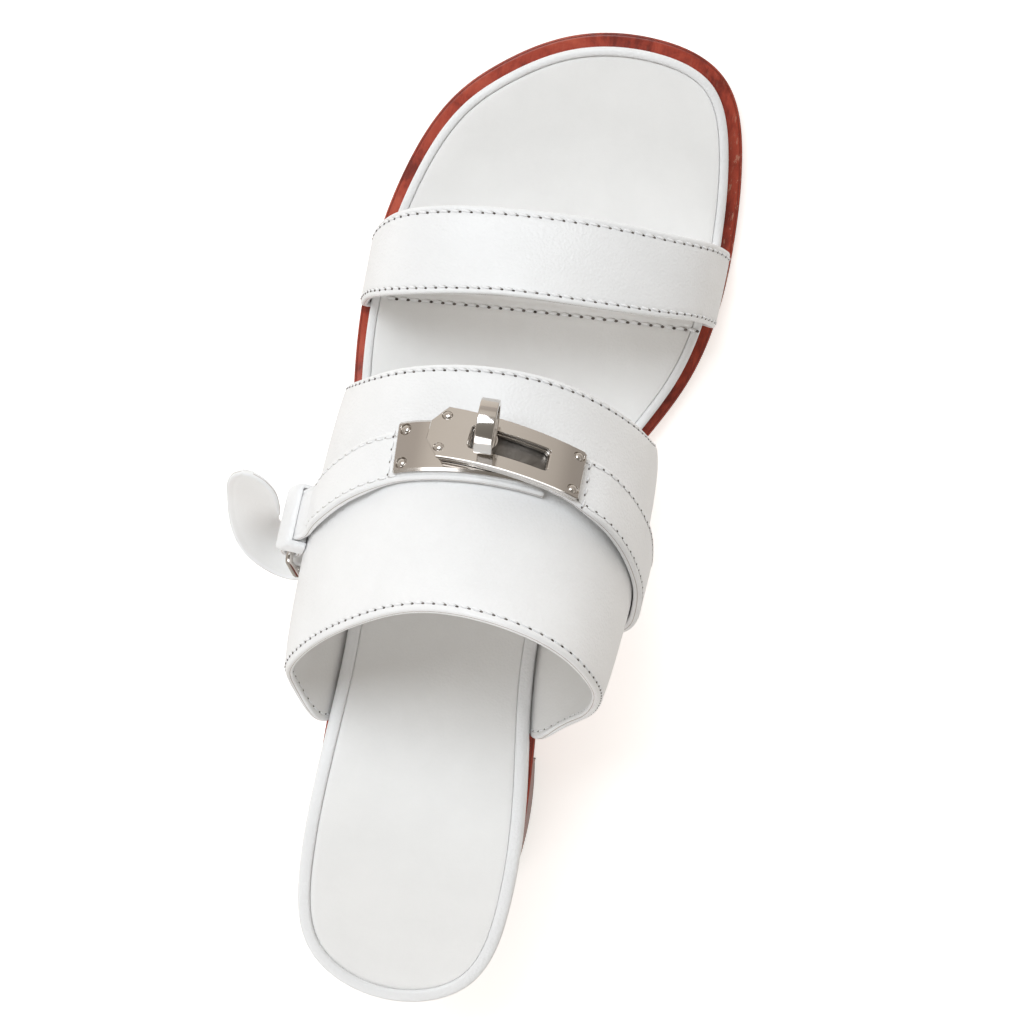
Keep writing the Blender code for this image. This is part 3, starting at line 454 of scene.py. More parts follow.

# %% [markdown]
# ## Nickel, thread and needle holes
# The clasp is polished, slightly warm nickel. A perfect mirror looks false, so a faint cloud of
# handling marks changes how sharp it is. Thread is waxed and white. A needle hole is only a
# dark matt spot at the end of each stitch: painted shade of the hole. A grey streak beside each
# thread is painted shade where it dimples the leather.

# %% Metal and thread
NICKEL, tree, shader = new_material("polished nickel", "nickel", (0.655, 0.625, 0.595), 0.1, 1.0)
marks = placed(tree, clouds, Size=300.0, Fibres=2500.0)["Cloud"]
polish = remapped(tree, marks, To_Min=0.05, To_Max=0.16)
fill(shader, Roughness=polish, Normal=bump(tree, marks, 0.02, 0.0002))

# A dark metal for the floor of the slot: painted shade of the slot's inside.
SLOT_SHADE_METAL, tree, shader = new_material("slot shade metal", "nickel", (0.17, 0.155, 0.145), 0.38, 1.0)
marks = placed(tree, clouds, Size=240.0, Fibres=2500.0)["Cloud"]
fill(shader, Base_Color=ramp(marks, [(0.3, (0.13, 0.12, 0.11)), (0.7, (0.25, 0.235, 0.22))]))

THREAD, tree, shader = new_material("white thread", "white_leather", (0.86, 0.865, 0.875), 0.45)
fill(shader, Normal=bump(tree, noise(tree, own_place(tree), 3500.0), 0.3, 0.0001))


def speckled(name, colour, roughness, scale, low, high):
    made, tree, shader = new_material(name, "white_leather", colour, roughness)
    fill(shader, Base_Color=ramp(noise(tree, own_place(tree), scale), [(0.3, low), (0.7, high)]))
    return made


# Both are painted shade: a grey streak where the thread shades the leather, and a dark spot where the needle
# went in.
PUCKER_SHADE = speckled("pucker shade", (0.58, 0.565, 0.55), 0.8, 700.0, (0.47, 0.455, 0.44), (0.68, 0.67, 0.66))
HOLE_SHADE = speckled("needle hole", (0.1, 0.085, 0.075), 0.9, 900.0, (0.05, 0.04, 0.035), (0.2, 0.18, 0.165))
print("metal and thread:", NICKEL.name, THREAD.name, HOLE_SHADE.name)

# %% [markdown]
# ## Making a piece
# Each piece ends the same way: a mesh in the last's millimetres becomes an object, gets its
# finishes, is shaded smooth and rides on a body of the frame. The normals are recalculated once
# on the closed shape, so that all its faces look outwards.

# %% Finishing a piece
MERGED = 2e-7


def linked(name, data):
    made = bpy.data.objects.new(name, data)
    bpy.context.scene.collection.objects.link(made)
    return made


def evaluated(thing):
    """The mesh that an object's modifiers make of it."""
    return bpy.data.meshes.new_from_object(thing.evaluated_get(bpy.context.evaluated_depsgraph_get()))


def closed_and_smooth(mesh, sharp=None):
    shape = bmesh.new()
    shape.from_mesh(mesh)
    bmesh.ops.remove_doubles(shape, verts=shape.verts, dist=MERGED)
    bmesh.ops.recalc_face_normals(shape, faces=shape.faces)
    shape.to_mesh(mesh)
    shape.free()
    mesh.shade_smooth()
    if sharp is not None:
        mesh.set_sharp_from_angle(angle=np.radians(sharp))


def finish_piece(name, mesh, materials, replaced=(), body="sandal", sharp=None, shaded=False):
    """An object that rides on the frame. shaded: the mesh brings its own shading along."""
    for material in materials:
        mesh.materials.append(material)
    piece = linked(name, mesh)
    if not shaded:
        closed_and_smooth(mesh, sharp)
    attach(piece, body)
    if replaced:
        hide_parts(*replaced)
    print(f"{name}: {len(mesh.polygons)} faces")
    return piece


def quads(loops, size, around=False):
    """Faces between neighbouring loops of points; around joins the last loop to the first."""
    steps = [(k * size, (k + 1) % loops * size) for k in range(loops if around else loops - 1)]
    return [(a + i, a + (i + 1) % size, b + (i + 1) % size, b + i) for a, b in steps for i in range(size)]


def closed_mesh(name, loops, indices=None, attributes=(), caps=True):
    """A solid through loops of equal size. Its ends are capped, unless they close as slits.
    indices gives each face's material."""
    size, rows = len(loops[0]), len(loops)
    mesh = bpy.data.meshes.new(name)
    faces = quads(rows, size)
    if caps:
        faces += [tuple(range(size)), tuple((rows - 1) * size + i for i in range(size))]
    mesh.from_pydata(place(np.vstack(loops)).tolist(), [], faces)
    if indices is not None:
        mesh.polygons.foreach_set("material_index", np.asarray(indices, int))
    for label, values in attributes:
        layer = mesh.attributes.new(label, "FLOAT", "POINT")
        layer.data.foreach_set("value", np.asarray(values, np.float32))
    return mesh


# %% [markdown]
# ## Lofting round the outline
# Sole, footbed and sock are all one outline pushed in by different amounts and lifted to
# different heights. Such a loft is a list of rings. To close it well, its flat middle is filled
# with strips from side to side instead of one huge face, which would shade badly.

# %% Lofts


def paired_outline(count, extra=()):
    """The outline as one loop whose medial and lateral points pair up, closer together at both tips."""
    low, high = OUTLINE[:, 1].min(), OUTLINE[:, 1].max()
    along = low + (high - low) * (1.0 - np.cos(np.linspace(0.0, np.pi, count + 1))) / 2.0
    if len(extra):
        along = along[(along < extra[0] - 0.2) | (along > extra[-1] + 0.2)]
    along = np.sort(np.concatenate([along, extra]))
    return np.vstack([edge_points(along, 1), edge_points(along, -1)[-2:0:-1]])


def outward(loop):
    along = np.roll(loop, -1, axis=0) - np.roll(loop, 1, axis=0)
    return unit(np.column_stack([along[:, 1], -along[:, 0]]))


def offset(loop, distance):
    return loop + outward(loop) * np.reshape(distance, (-1, 1))


def raised(flat, height):
    return np.column_stack([flat, height])


def across_rings(ring, height, steps):
    """Fills a ring's middle: rings that close in on the line halfway between both sides."""
    loop = ring[:, :2]
    middle = (loop + loop[-np.arange(len(loop)) % len(loop)]) / 2.0
    flats = [loop * (1.0 - share) + middle * share for share in np.linspace(0.0, 1.0, steps + 1)[1:]]
    return [raised(flat, height(flat)) for flat in flats]


def filled(rings, under, over):
    """Fills a loft's first and last ring; under and over are each (height, steps)."""
    return across_rings(rings[0], *under)[::-1] + rings + across_rings(rings[-1], *over)


print("outline helpers ready:", len(paired_outline(150)), "points round the sole")

# %% [markdown]
# ## The outsole
# A leather sole about 5 mm thick under the ball and thinner at the waist. Its rim is rounded by
# the edge iron, which also leaves a fine groove on the welt. The rings below walk from the
# underside round the rim to the top; two attributes tell the stain where rim and wear are. The
# rim attribute also darkens the welt where it runs in under the footbed: that part is painted shade.

# %% Outsole
base = paired_outline(170)
SOLE_RINGS = [
    # inset from the rim, height from the nearer face, on top?, darkness: of the rim, and further in painted
    # shade under the footbed's edge
    (2.0, 0.0, False, 0.5),
    (0.55, 0.0, False, 0.7),
    (0.18, 0.18, False, 0.8),
    (0.03, 0.55, False, 0.8),
    (0.0, 1.1, False, 0.6),
    (0.0, -1.2, True, 0.6),
    (0.02, -0.7, True, 0.75),
    (0.1, -0.3, True, 0.6),
    (0.24, -0.1, True, 0.15),
    (0.38, -0.03, True, 0.0),
    (0.46, -0.03, True, 0.5),
    (0.52, -0.12, True, 0.95),
    (0.6, -0.12, True, 0.95),
    (0.68, -0.02, True, 0.35),
    (1.0, 0.0, True, 0.0),
    (3.6, 0.0, True, 0.0),
    # These rows darken the welt where it meets the footbed: painted shade.
    (4.4, 0.0, True, 0.9),
    (8.0, 0.0, True, 1.0),
]
rings, rims = [], []
for inset, up, on_top, dark in SOLE_RINGS:
    loop = offset(base, welt(base[:, 1]) - inset)
    height = sole_top(loop[:, 1]) if on_top else sole_bottom(loop[:, 1])
    rings.append(raised(loop, height + up))
    rims.append(np.full(len(loop), dark))
UNDER_STEPS, OVER_STEPS = 5, 3
under = (lambda flat: sole_bottom(flat[:, 1]), UNDER_STEPS)
rings = filled(rings, under, (lambda flat: sole_top(flat[:, 1]), OVER_STEPS))
# The filled top lies under the footbed and is dark throughout: painted shade.
rims = [np.full(len(base), 0.3)] * UNDER_STEPS + rims + [np.ones(len(base))] * OVER_STEPS
across, along, _ = np.vstack(rings).T
WEAR_ACROSS, WEAR_ALONG = 44.0, 196.0
wear = np.exp(-(((across - WEAR_ACROSS) / 13.0) ** 2) - ((along - WEAR_ALONG) / 26.0) ** 2)
sole_tints_and_shade = [("rim", np.concatenate(rims)), ("wear", wear + 0.05)]
sole_mesh = closed_mesh("outsole", rings, attributes=sole_tints_and_shade, caps=False)
finish_piece("sole", sole_mesh, [SOLE_STAIN], ["outsole"])

# %% [markdown]
# ## The heel block
# Lifts of leather are glued, rasped to one block and stained. Its round back follows the heel
# seat, its front is flat, and it tapers to the top piece, the thin lift that meets the floor.
# The block is lofted from that foot up to the curved underside of the sole.

# %% Heel block
BREAST_TOP, BREAST_FOOT, FOOT_BACK, FOOT_HALF, FOOT_MIDDLE = 57.0, 51.0, 6.8, 22.8, 2.7
TOP_PIECE = 3.0
back_along = OUTLINE[:, 1].min() + (BREAST_TOP - OUTLINE[:, 1].min()) * np.linspace(0.0, 1.0, 60) ** 2
heel_medial, heel_lateral = edge_points(back_along, 1), edge_points(back_along, -1)
breast = heel_lateral[-1] - heel_medial[-1]
heel_front = [heel_medial[-1] + breast * t for t in np.linspace(0.0, 1.0, 14)[1:-1]]
seat = offset(np.vstack([heel_medial, heel_front, heel_lateral[:0:-1]]), -0.7)
seat[:, 1] = np.minimum(seat[:, 1], BREAST_TOP)
seat_middle = (seat[:, 0].max() + seat[:, 0].min()) / 2.0
seat_half = np.ptp(seat[:, 0]) / 2.0
lengthwise = (BREAST_FOOT - FOOT_BACK) / (BREAST_TOP - seat[:, 1].min())
foot_across = FOOT_MIDDLE + (seat[:, 0] - seat_middle) * FOOT_HALF / seat_half
foot = np.column_stack([foot_across, BREAST_FOOT + (seat[:, 1] - BREAST_TOP) * lengthwise])
seat_height = sole_bottom(seat[:, 1]) - GAP
HEEL_LEVELS = [
    # height, inset, darkness of the rim
    (0.0, 0.6, 1.0), (0.12, 0.2, 1.0), (0.45, 0.0, 1.0),
    (TOP_PIECE - 0.35, 0.0, 1.0), (TOP_PIECE - 0.1, 0.12, 1.0), (TOP_PIECE, 0.3, 1.0),
    (TOP_PIECE + 0.1, 0.12, 0.9), (TOP_PIECE + 0.35, 0.0, 0.1),
    *[(height, 0.0, 0.0) for height in np.linspace(5.0, 36.0, 14)],
]
rows, rims = [], []
for height, inset, dark in HEEL_LEVELS:
    flat = foot + (seat - foot) * (height / seat_height)[:, None]
    flat = offset(flat, -inset) if inset else flat
    rows.append(raised(flat, np.full(len(flat), height)))
    rims.append(np.full(len(flat), dark))
for inset, drop in ((0.0, 0.5), (0.12, 0.12), (0.5, 0.0)):
    flat = offset(seat, -inset)
    rows.append(raised(flat, sole_bottom(flat[:, 1]) - GAP - drop))
    rims.append(np.full(len(flat), 0.15))
heel_mesh = closed_mesh("heel_block", rows, attributes=[("rim", np.concatenate(rims))])
finish_piece("stacked_heel", heel_mesh, [HEEL_STAIN], ["heel_block"], sharp=50)

# %% [markdown]
# ## The wrapped footbed
# A board wrapped in the same calf, with a rounded rail round its edge. The straps' ends run in
# under it, so its underside is cut away there. The rail carries the light round the whole shoe
# and gets the most rings.

# %% Footbed
FRONT_STRAP_FEET = (174.0, 157.0, 188.2, 169.5)
BAND_FEET = (137.6, 60.3, 140.0, 66.9)
base = paired_outline(220)
room = np.zeros(len(base))
medial_half = np.arange(len(base)) <= len(base) // 2
for feet in (FRONT_STRAP_FEET, BAND_FEET):
    for side, front, rear in ((~medial_half, feet[0], feet[1]), (medial_half, feet[2], feet[3])):
        past_front = smooth_step(base[:, 1], front + 0.7, front + 1.6)
        near = smooth_step(base[:, 1], rear - 1.6, rear - 0.7) * (1.0 - past_front)
        room = np.maximum(room, np.where(side, near, 0.0) * (WALL + GAP))
RAIL_RINGS = [
    # inset from the edge, inset as a share of the rail, height above the outsole, share of the room
    (10.0, 0.0, GAP, 1.0),
    (0.7, 0.0, GAP, 1.0),
    (0.25, 0.0, GAP + 0.15, 1.0),
    (0.0, 0.0, GAP + 0.6, 1.0),
    (0.0, 0.0, RIM - 2.6, 0.3),
    (0.02, 0.0, RIM - 1.5, 0.0),
    (0.12, 0.0, RIM - 0.85, 0.0),
    (0.34, 0.0, RIM - 0.38, 0.0),
    (0.7, 0.0, RIM - 0.1, 0.0),
    (0.6, 0.25, RIM, 0.0),
    (-0.6, 1.0, RIM - 0.02, 0.0),
    (-0.34, 1.0, RIM - 0.08, 0.0),
    (-0.14, 1.0, RIM - 0.24, 0.0),
    (-0.04, 1.0, RIM - 0.5, 0.0),
    (0.0, 1.0, RIM - 0.9, 0.0),
    (0.3, 1.0, RIM - TRAY, 0.0),
    (2.0, 1.0, RIM - TRAY, 0.0),
]


RAIL_REAR, RAIL_SLIMS = 3.15, 0.95


def rail(along):
    """The rail's width: slim round the forefoot, fuller from the waist back."""
    return RAIL_REAR - RAIL_SLIMS * smooth_step(along, 95.0, 150.0)


rings = []
for inset, share, up, lifted in RAIL_RINGS:
    loop = offset(base, -inset - share * rail(base[:, 1]))
    rings.append(raised(loop, sole_top(loop[:, 1]) + up + room * lifted))
under = (lambda flat: sole_top(flat[:, 1]) + GAP, 3)
rings = filled(rings, under, (lambda flat: sole_top(flat[:, 1]) + RIM - TRAY, 3))
finish_piece("wrapped_footbed", closed_mesh("footbed", rings, caps=False), [CALF], ["footbed"])

# %% [markdown]
# ## The padded sock
# A thin foam pad under leather lies inside the rail. It is in two pieces: the rear one laps over
# the front one under the front strap and is sewn down there. The step of that lap and the dip
# along its seam are raised in the mesh, because light shows them as shape.

# %% Sock
SOCK_FLOOR = RIM - TRAY + GAP
SOCK_RINGS = [
    # distance in from the rail, height under the rail's top
    (0.3, 1.3),
    (0.08, 0.95),
    (0.05, 0.68),
    (0.14, 0.46),
    (0.4, 0.34),
    (1.1, 0.27),
    (2.2, 0.2),
    (4.0, 0.14),
    (6.5, 0.1),
]
DISH, LAP, SEAM_BACK, SEAM_DIP, SOFT_WAVE = 0.9, 0.35, 1.65, 0.3, 0.08
LAP_AT, LAP_SLANT, LAP_BOW = 166.35, 0.105, 0.0003


def lap_edge(across):
    """Where the rear sock's front edge runs."""
    return LAP_AT + LAP_SLANT * across - LAP_BOW * across**2


def sock_top(flat):
    """The sock's height: a shallow dish with the lap of the two parts and the dip of their seam."""
    medial, lateral = edge(flat[:, 1], 1), edge(flat[:, 1], -1)
    width = np.maximum(medial - lateral, 1.0)
    off_middle = np.clip((2.0 * flat[:, 0] - medial - lateral) / width, -1.0, 1.0)
    dish = DISH * (1.0 - off_middle**2) * smooth_step(width, 8.0, 45.0)
    behind = lap_edge(flat[:, 0]) - flat[:, 1]
    lap = LAP * smooth_step(behind, -0.15, 0.25) * (1.0 - smooth_step(behind, 6.0, 30.0))
    dip = SEAM_DIP * np.exp(-(((behind - SEAM_BACK) / 0.75) ** 2))
    soft = SOFT_WAVE * np.sin(flat[:, 1] / 17.0) * np.cos(flat[:, 0] / 13.0)
    return sole_top(flat[:, 1]) + RIM - 0.1 - dish + lap - dip + soft


base = paired_outline(230, np.arange(156.0, 175.0, 0.33))
floor_ring = offset(base, -0.6 - rail(base[:, 1]))
rings = [raised(floor_ring, sole_top(floor_ring[:, 1]) + SOCK_FLOOR)]
for inset, under in SOCK_RINGS:
    loop = offset(base, -inset - rail(base[:, 1]))
    full = smooth_step(under, 1.0, 0.4)
    top = sock_top(loop) + 0.1 - under
    plain = sole_top(loop[:, 1]) + RIM - under
    rings.append(raised(loop, plain + (top - plain) * full))
rings = filled(rings, (lambda flat: sole_top(flat[:, 1]) + SOCK_FLOOR, 2), (sock_top, 14))
sock = finish_piece("padded_sock", closed_mesh("insole", rings, caps=False), [SOCK], ["insole"])

# %% [markdown]
# ## Reading a surface between its points
# Straps are grids of points: stations along the strap, and points across it. To lay an edge, a
# seam or a belt anywhere on them, the grid is read between its points with cubic weights. The
# normal comes from two short differences.

# %% Grids
NORMAL_STEP = 0.6


def cubic_weights(t):
    first = -0.5 * t + t * t - 0.5 * t**3
    second = 1.0 - 2.5 * t * t + 1.5 * t**3
    third = 0.5 * t + 2.0 * t * t - 1.5 * t**3
    return np.stack([first, second, third, -0.5 * t * t + 0.5 * t**3], axis=-1)


def read_grid(grid, row, column):
    rows, columns = grid.shape[:2]
    row = np.clip(row, 0.0, rows - 1.0)
    column = np.clip(column, 0.0, columns - 1.0)
    i = np.minimum(row.astype(int), rows - 2)
    j = np.minimum(column.astype(int), columns - 2)
    neighbours = np.array([-1, 0, 1, 2])
    pick_rows = np.clip(i[..., None] + neighbours, 0, rows - 1)
    pick_columns = np.clip(j[..., None] + neighbours, 0, columns - 1)
    patch = grid[pick_rows[..., :, None], pick_columns[..., None, :]]
    return np.einsum("...i,...j,...ijk->...k", cubic_weights(row - i), cubic_weights(column - j), patch)


def read_normal(grid, row, column):
    """A unit normal that looks out when the stations run from lateral to medial."""
    rows, columns = grid.shape[:2]
    near, far = [np.clip(row + way * NORMAL_STEP, 0, rows - 1) for way in (-1, 1)]
    left, rightmost = [np.clip(column + way * NORMAL_STEP, 0, columns - 1) for way in (-1, 1)]
    along = read_grid(grid, far, column) - read_grid(grid, near, column)
    across = read_grid(grid, row, rightmost) - read_grid(grid, row, left)
    return unit(np.cross(across, along))


def widths_of(grid):
    return np.linalg.norm(np.diff(grid, axis=1), axis=2).sum(axis=1)


# %% [markdown]
# ## A strip of leather
# Straps and belts are outer leather and lining glued back to back, with a rounded painted edge
# and a line where the two meet. One builder makes them all: it walks a cross-section along the
# grid. The section dips a little at the seam, because stitches pull the leather in.

# %% The strip builder
OUTER, PAINT, INNER, BETWEEN = 0, 1, 2, 3


def section_side(seam):
    """One side of a cross-section from the outer face round the edge to the inner face: distance in
    from the edge, depth under the outer face, share of the thickness that adds to it, and finish."""
    layers = [
        # share of the thickness, finish, points of (distance in, depth)
        (0.0, OUTER, [(seam + 1.2, 0.0), (seam + 0.6, 0.03), (seam + 0.25, 0.12), (seam, 0.17)]),
        (0.0, OUTER, [(seam - 0.25, 0.12), (max(seam - 0.6, 0.85), 0.02), (0.8, 0.02)]),
        (0.0, PAINT, [(0.42, 0.1), (0.16, 0.27), (0.03, 0.5)]),
        (0.5, PAINT, [(0.0, -0.13)]),
        (0.5, BETWEEN, [(0.03, -0.07), (0.14, -0.02), (0.14, 0.02), (0.03, 0.07)]),
        (0.5, PAINT, [(0.0, 0.13)]),
        (1.0, PAINT, [(0.03, -0.5), (0.16, -0.27), (0.42, -0.1)]),
        (1.0, INNER, [(0.8, -0.02), (max(seam - 0.4, 0.85), -0.01), (seam, -0.1), (seam + 0.4, -0.01)]),
        (1.0, INNER, [(seam + 1.2, 0.0)]),
    ]
    return np.array([(inset, deep, share, kind) for share, kind, points in layers for inset, deep in points])


def strip(name, grid, thickness, replaced, seams, facing=1.0, under=0.0, middle=12, step=1.2):
    """A closed strip. grid is its outer face, or lies `under` that face. thickness may vary by row.
    seams are how far the front and the rear seam lie in from their edges. middle is the number of
    points between the seams, and step the distance between rows."""
    stations, columns = grid.shape[:2]
    run = travelled(grid[:, columns // 2])
    rows = np.interp(np.linspace(0.0, run[-1], max(6, int(run[-1] / step))), run, np.arange(stations))
    width, thick, under = [
        np.interp(rows, np.arange(stations), np.broadcast_to(values, stations))[:, None]
        for values in (widths_of(grid), thickness, under)
    ]
    front, side = section_side(seams[0]), section_side(seams[1])
    shares = np.linspace(0.0, 1.0, middle + 2)[1:-1]
    scale = np.minimum(1.0, 0.42 * width / max(front[0, 0], side[0, 0]))
    right_w, left_w = width - side[:, 0] * scale, front[::-1, 0] * scale
    outer_w = left_w[:, -1:] + (right_w[:, :1] - left_w[:, -1:]) * shares
    inner_w = right_w[:, -1:] + (left_w[:, :1] - right_w[:, -1:]) * shares
    across = np.hstack([outer_w, right_w, inner_w, left_w])
    none = np.zeros_like(outer_w)
    depth_rear = side[:, 1] + side[:, 2] * thick
    depth_front = (front[:, 1] + front[:, 2] * thick)[:, ::-1]
    depth = np.hstack([none, depth_rear, none + thick, depth_front]) - under
    column = across / width * (columns - 1)
    row = np.broadcast_to(rows[:, None], column.shape)
    points = read_grid(grid, row, column) - read_normal(grid, row, column) * facing * depth[..., None]
    kinds = np.concatenate([np.full(middle, OUTER), side[:, 3], np.full(middle, INNER), side[::-1, 3]])
    kinds = kinds.astype(int)
    kinds[middle + len(side) - 1] = INNER
    painted = np.where(kinds == BETWEEN, PAINT, kinds)
    between = (kinds == BETWEEN) & (np.roll(kinds, -1) == BETWEEN)
    strips = np.where(between, BETWEEN, np.minimum(painted, np.roll(painted, -1)))
    strips = np.tile(strips, len(rows) - 1)
    mesh = closed_mesh(name, list(points), np.concatenate([strips, [PAINT, PAINT]]))
    return finish_piece(name, mesh, [CALF, EDGE_PAINT, LINING, GLUE_LINE], replaced)


# %% [markdown]
# ## Front strap and instep band
# Both are given as rows of two points, front edge and rear edge, over the foot from the lateral
# to the medial side. A smooth curve goes through each edge and every line between them. Their
# ends turn in under the footbed, as the maker lasts them.

# %% Strap tables
FRONT_STRAP_ROWS = [
    # front edge: across, along, up; rear edge: across, along, up
    (-41.8, 175.4, 13.0, -41.7, 158.4, 14.0),
    (-38.2, 180.9, 24.0, -38.1, 161.5, 26.0),
    (-32.3, 184.4, 31.5, -29.4, 164.8, 37.0),
    (-22.1, 187.4, 35.5, -18.6, 167.8, 43.0),
    (-9.5, 189.5, 37.3, -5.9, 170.3, 46.2),
    (4.1, 190.8, 37.8, 6.2, 171.4, 46.6),
    (16.6, 191.3, 36.3, 18.1, 171.9, 44.3),
    (28.0, 191.1, 32.3, 29.8, 172.1, 38.5),
    (37.2, 190.7, 25.0, 38.4, 172.0, 29.5),
    (42.2, 189.6, 16.0, 42.9, 170.8, 18.5),
    (44.1, 188.5, 10.5, 44.3, 169.8, 11.5),
]
BAND_ROWS = [
    (-39.3, 138.5, 18.0, -35.1, 67.8, 49.5),
    (-38.7, 140.3, 30.0, -36.5, 76.7, 61.8),
    (-34.6, 144.0, 44.0, -30.5, 87.3, 75.5),
    (-25.0, 150.1, 57.0, -19.9, 98.3, 89.6),
    (-12.1, 154.5, 64.0, -6.1, 106.9, 100.6),
    (2.5, 156.2, 65.3, 9.8, 108.9, 105.4),
    (15.7, 154.8, 62.3, 23.9, 105.3, 103.3),
    (25.2, 151.0, 54.5, 32.3, 97.3, 94.1),
    (31.7, 146.4, 43.5, 34.5, 88.8, 78.8),
    (34.5, 142.6, 30.5, 32.9, 80.5, 62.7),
    (34.8, 140.9, 18.5, 28.1, 72.8, 49.0),
]


# %% Strap surfaces


def foot_rows(along, side):
    """A strap's outer face from its end under the footbed, round the rim's foot and up."""
    rim = edge(along, side)
    wall = rim + side * (GAP + WALL)
    height = float(sole_top(along)) + GAP
    return [
        (rim - side * TUCK, along, height),
        (rim - side * 2.0, along, height),
        (wall - side * 0.9, along, height + 0.5),
        (wall, along, height + 2.2),
    ]


def section(table, feet, share, dip, swell):
    """Control points of one line over the foot, this share of the way from front to rear edge."""
    table = np.asarray(table, float)
    rows = table[:, :3] * (1.0 - share) + table[:, 3:] * share
    over = np.cos(np.linspace(-0.5, 0.5, len(rows)) * np.pi) ** 2
    middle = 4.0 * share * (1.0 - share)
    rows[:, 2] -= dip * middle * over * 0.75
    rows[:, 1] -= dip * middle * over * 0.66
    for row, top in zip(rows, over):
        side = 1.0 if row[0] > 0.0 else -1.0
        row[0] += side * swell[int(side > 0)] * np.sqrt(middle) * (1.0 - top)
        if row[2] < sole_top(row[1]) + RIM + 1.5:
            row[0] = side * max(side * row[0], side * edge(row[1], side) + GAP + WALL)
    lateral = feet[0] * (1.0 - share) + feet[1] * share
    medial = feet[2] * (1.0 - share) + feet[3] * share
    return np.vstack([foot_rows(lateral, -1.0), rows, foot_rows(medial, 1.0)[::-1]])


def strap_surface(table, feet, dip, swell, shares, stations):
    sections = [section(table, feet, share, dip, swell) for share in np.linspace(0.0, 1.0, shares)]
    return np.stack([smooth_curve(line, stations) for line in sections], axis=1)


def unevenness(grid, size):
    """Hand work: slow waves of about a tenth of a millimetre that no machine would leave."""
    run, across = np.arange(grid.shape[0])[:, None], np.arange(grid.shape[1])[None, :]
    run, across = run / grid.shape[0] * 9.0, across / grid.shape[1] * 2.2
    wave = np.sin(run * 2.1 + across * 1.7 + 0.4) + 0.6 * np.sin(run * 3.7 - across * 2.9)
    ends = np.sin(np.linspace(0.0, np.pi, grid.shape[0]))[:, None] ** 2
    normals = read_normal(grid, *np.indices(grid.shape[:2]).astype(float))
    return grid - normals * (size * ends * (wave + 1.6))[..., None]


FRONT_GRID = strap_surface(FRONT_STRAP_ROWS, FRONT_STRAP_FEET, 0.4, (0.3, 0.2), 13, 221)
BAND_GRID = strap_surface(BAND_ROWS, BAND_FEET, 4.5, (2.2, 4.9), 41, 281)
FRONT_SEEN = unevenness(FRONT_GRID, 0.05)
BAND_SEEN = unevenness(BAND_GRID, 0.04)
FRONT_SEAMS, BAND_SEAMS, BELT_SEAMS, TAIL_SEAMS = (1.5, 1.5), (1.2, 1.8), (1.25, 1.25), (1.7, 1.7)
strip("front_strap_leather", FRONT_SEEN, WALL, ["front_strap"], FRONT_SEAMS, step=0.9)
strip("instep_band_leather", BAND_SEEN, WALL, ["instep_band"], BAND_SEAMS, middle=42, step=1.1)

# %% [markdown]
# ## The belt's own directions
# The belt lies on the band, so its places are measured on it: a distance down from the crown, a
# width from the belt's middle line and a lift off the leather. Every fitting of the clasp is
# placed with the same three numbers, which keeps the layers apart by their true thickness.

# %% On the belt
BELT_ACROSS = np.linspace(0.03, 0.97, 189)
CROWN_SHARE, SIDE_SHARE, SHARE_STEP = 0.30, 0.50, 0.02


def on_band(share, across):
    rows, columns = BAND_GRID.shape[:2]
    return read_grid(BAND_GRID, np.asarray(across) * (rows - 1.0), np.asarray(share) * (columns - 1.0))


def belt_share(across):
    away = np.abs(np.asarray(across) - 0.5) / 0.5
    return CROWN_SHARE + (SIDE_SHARE - CROWN_SHARE) * smooth_step(away, 0.2, 0.9)


BELT_RUN = travelled(on_band(belt_share(BELT_ACROSS), BELT_ACROSS))
BELT_RUN = BELT_RUN - np.interp(0.5, BELT_ACROSS, BELT_RUN)


def on_belt(distance, width, lift):
    """Points by distance down the lateral side, width towards the heel, and lift."""
    distance, width, lift = np.broadcast_arrays(*[np.asarray(v, float) for v in (distance, width, lift)])
    across = np.interp(-distance, BELT_RUN, BELT_ACROSS)
    share, step = belt_share(across), SHARE_STEP
    along = on_band(share + step, across) - on_band(share - step, across)
    here_share = share + width * 2.0 * step / np.linalg.norm(along, axis=-1)
    here = on_band(here_share, across)
    along = on_band(here_share + step, across) - on_band(here_share - step, across)
    sideways = on_band(here_share, across + step) - on_band(here_share, across - step)
    return here + unit(np.cross(sideways, -along)) * lift[..., None]


SIDE_BELT, MEDIAL_BELT, SKIVED = 1.6, 2.2, 1.3
FIXED_PLATE, SLOTTED_PLATE = 1.0, 1.2
BELT_MIDDLE = GAP + SIDE_BELT / 2.0
PLATE_LIFT = 2.0 * GAP + SIDE_BELT
LAP_LIFT = PLATE_LIFT + FIXED_PLATE + GAP
SLOTTED_LIFT = LAP_LIFT + SKIVED + GAP
SLOTTED_TOP = SLOTTED_LIFT + SLOTTED_PLATE
SLOTTED_FROM, SLOTTED_TO, SLOTTED_TURN = -14.65, 15.5, 0.15
LATERAL_OFF, FIXED_OFF, SLOTTED_OFF = 3.5, 2.0, 1.95


# Each line gives how far off the belt's middle a fitting lies, and how much it is turned there.


def lateral_line(distance):
    return LATERAL_OFF + 0.5 * smooth_step(distance, 35.0, 55.0), 0.0


def fixed_line(distance):
    return FIXED_OFF, 0.0


def slotted_line(distance):
    return SLOTTED_OFF - SLOTTED_TURN * np.asarray(distance, float), SLOTTED_TURN


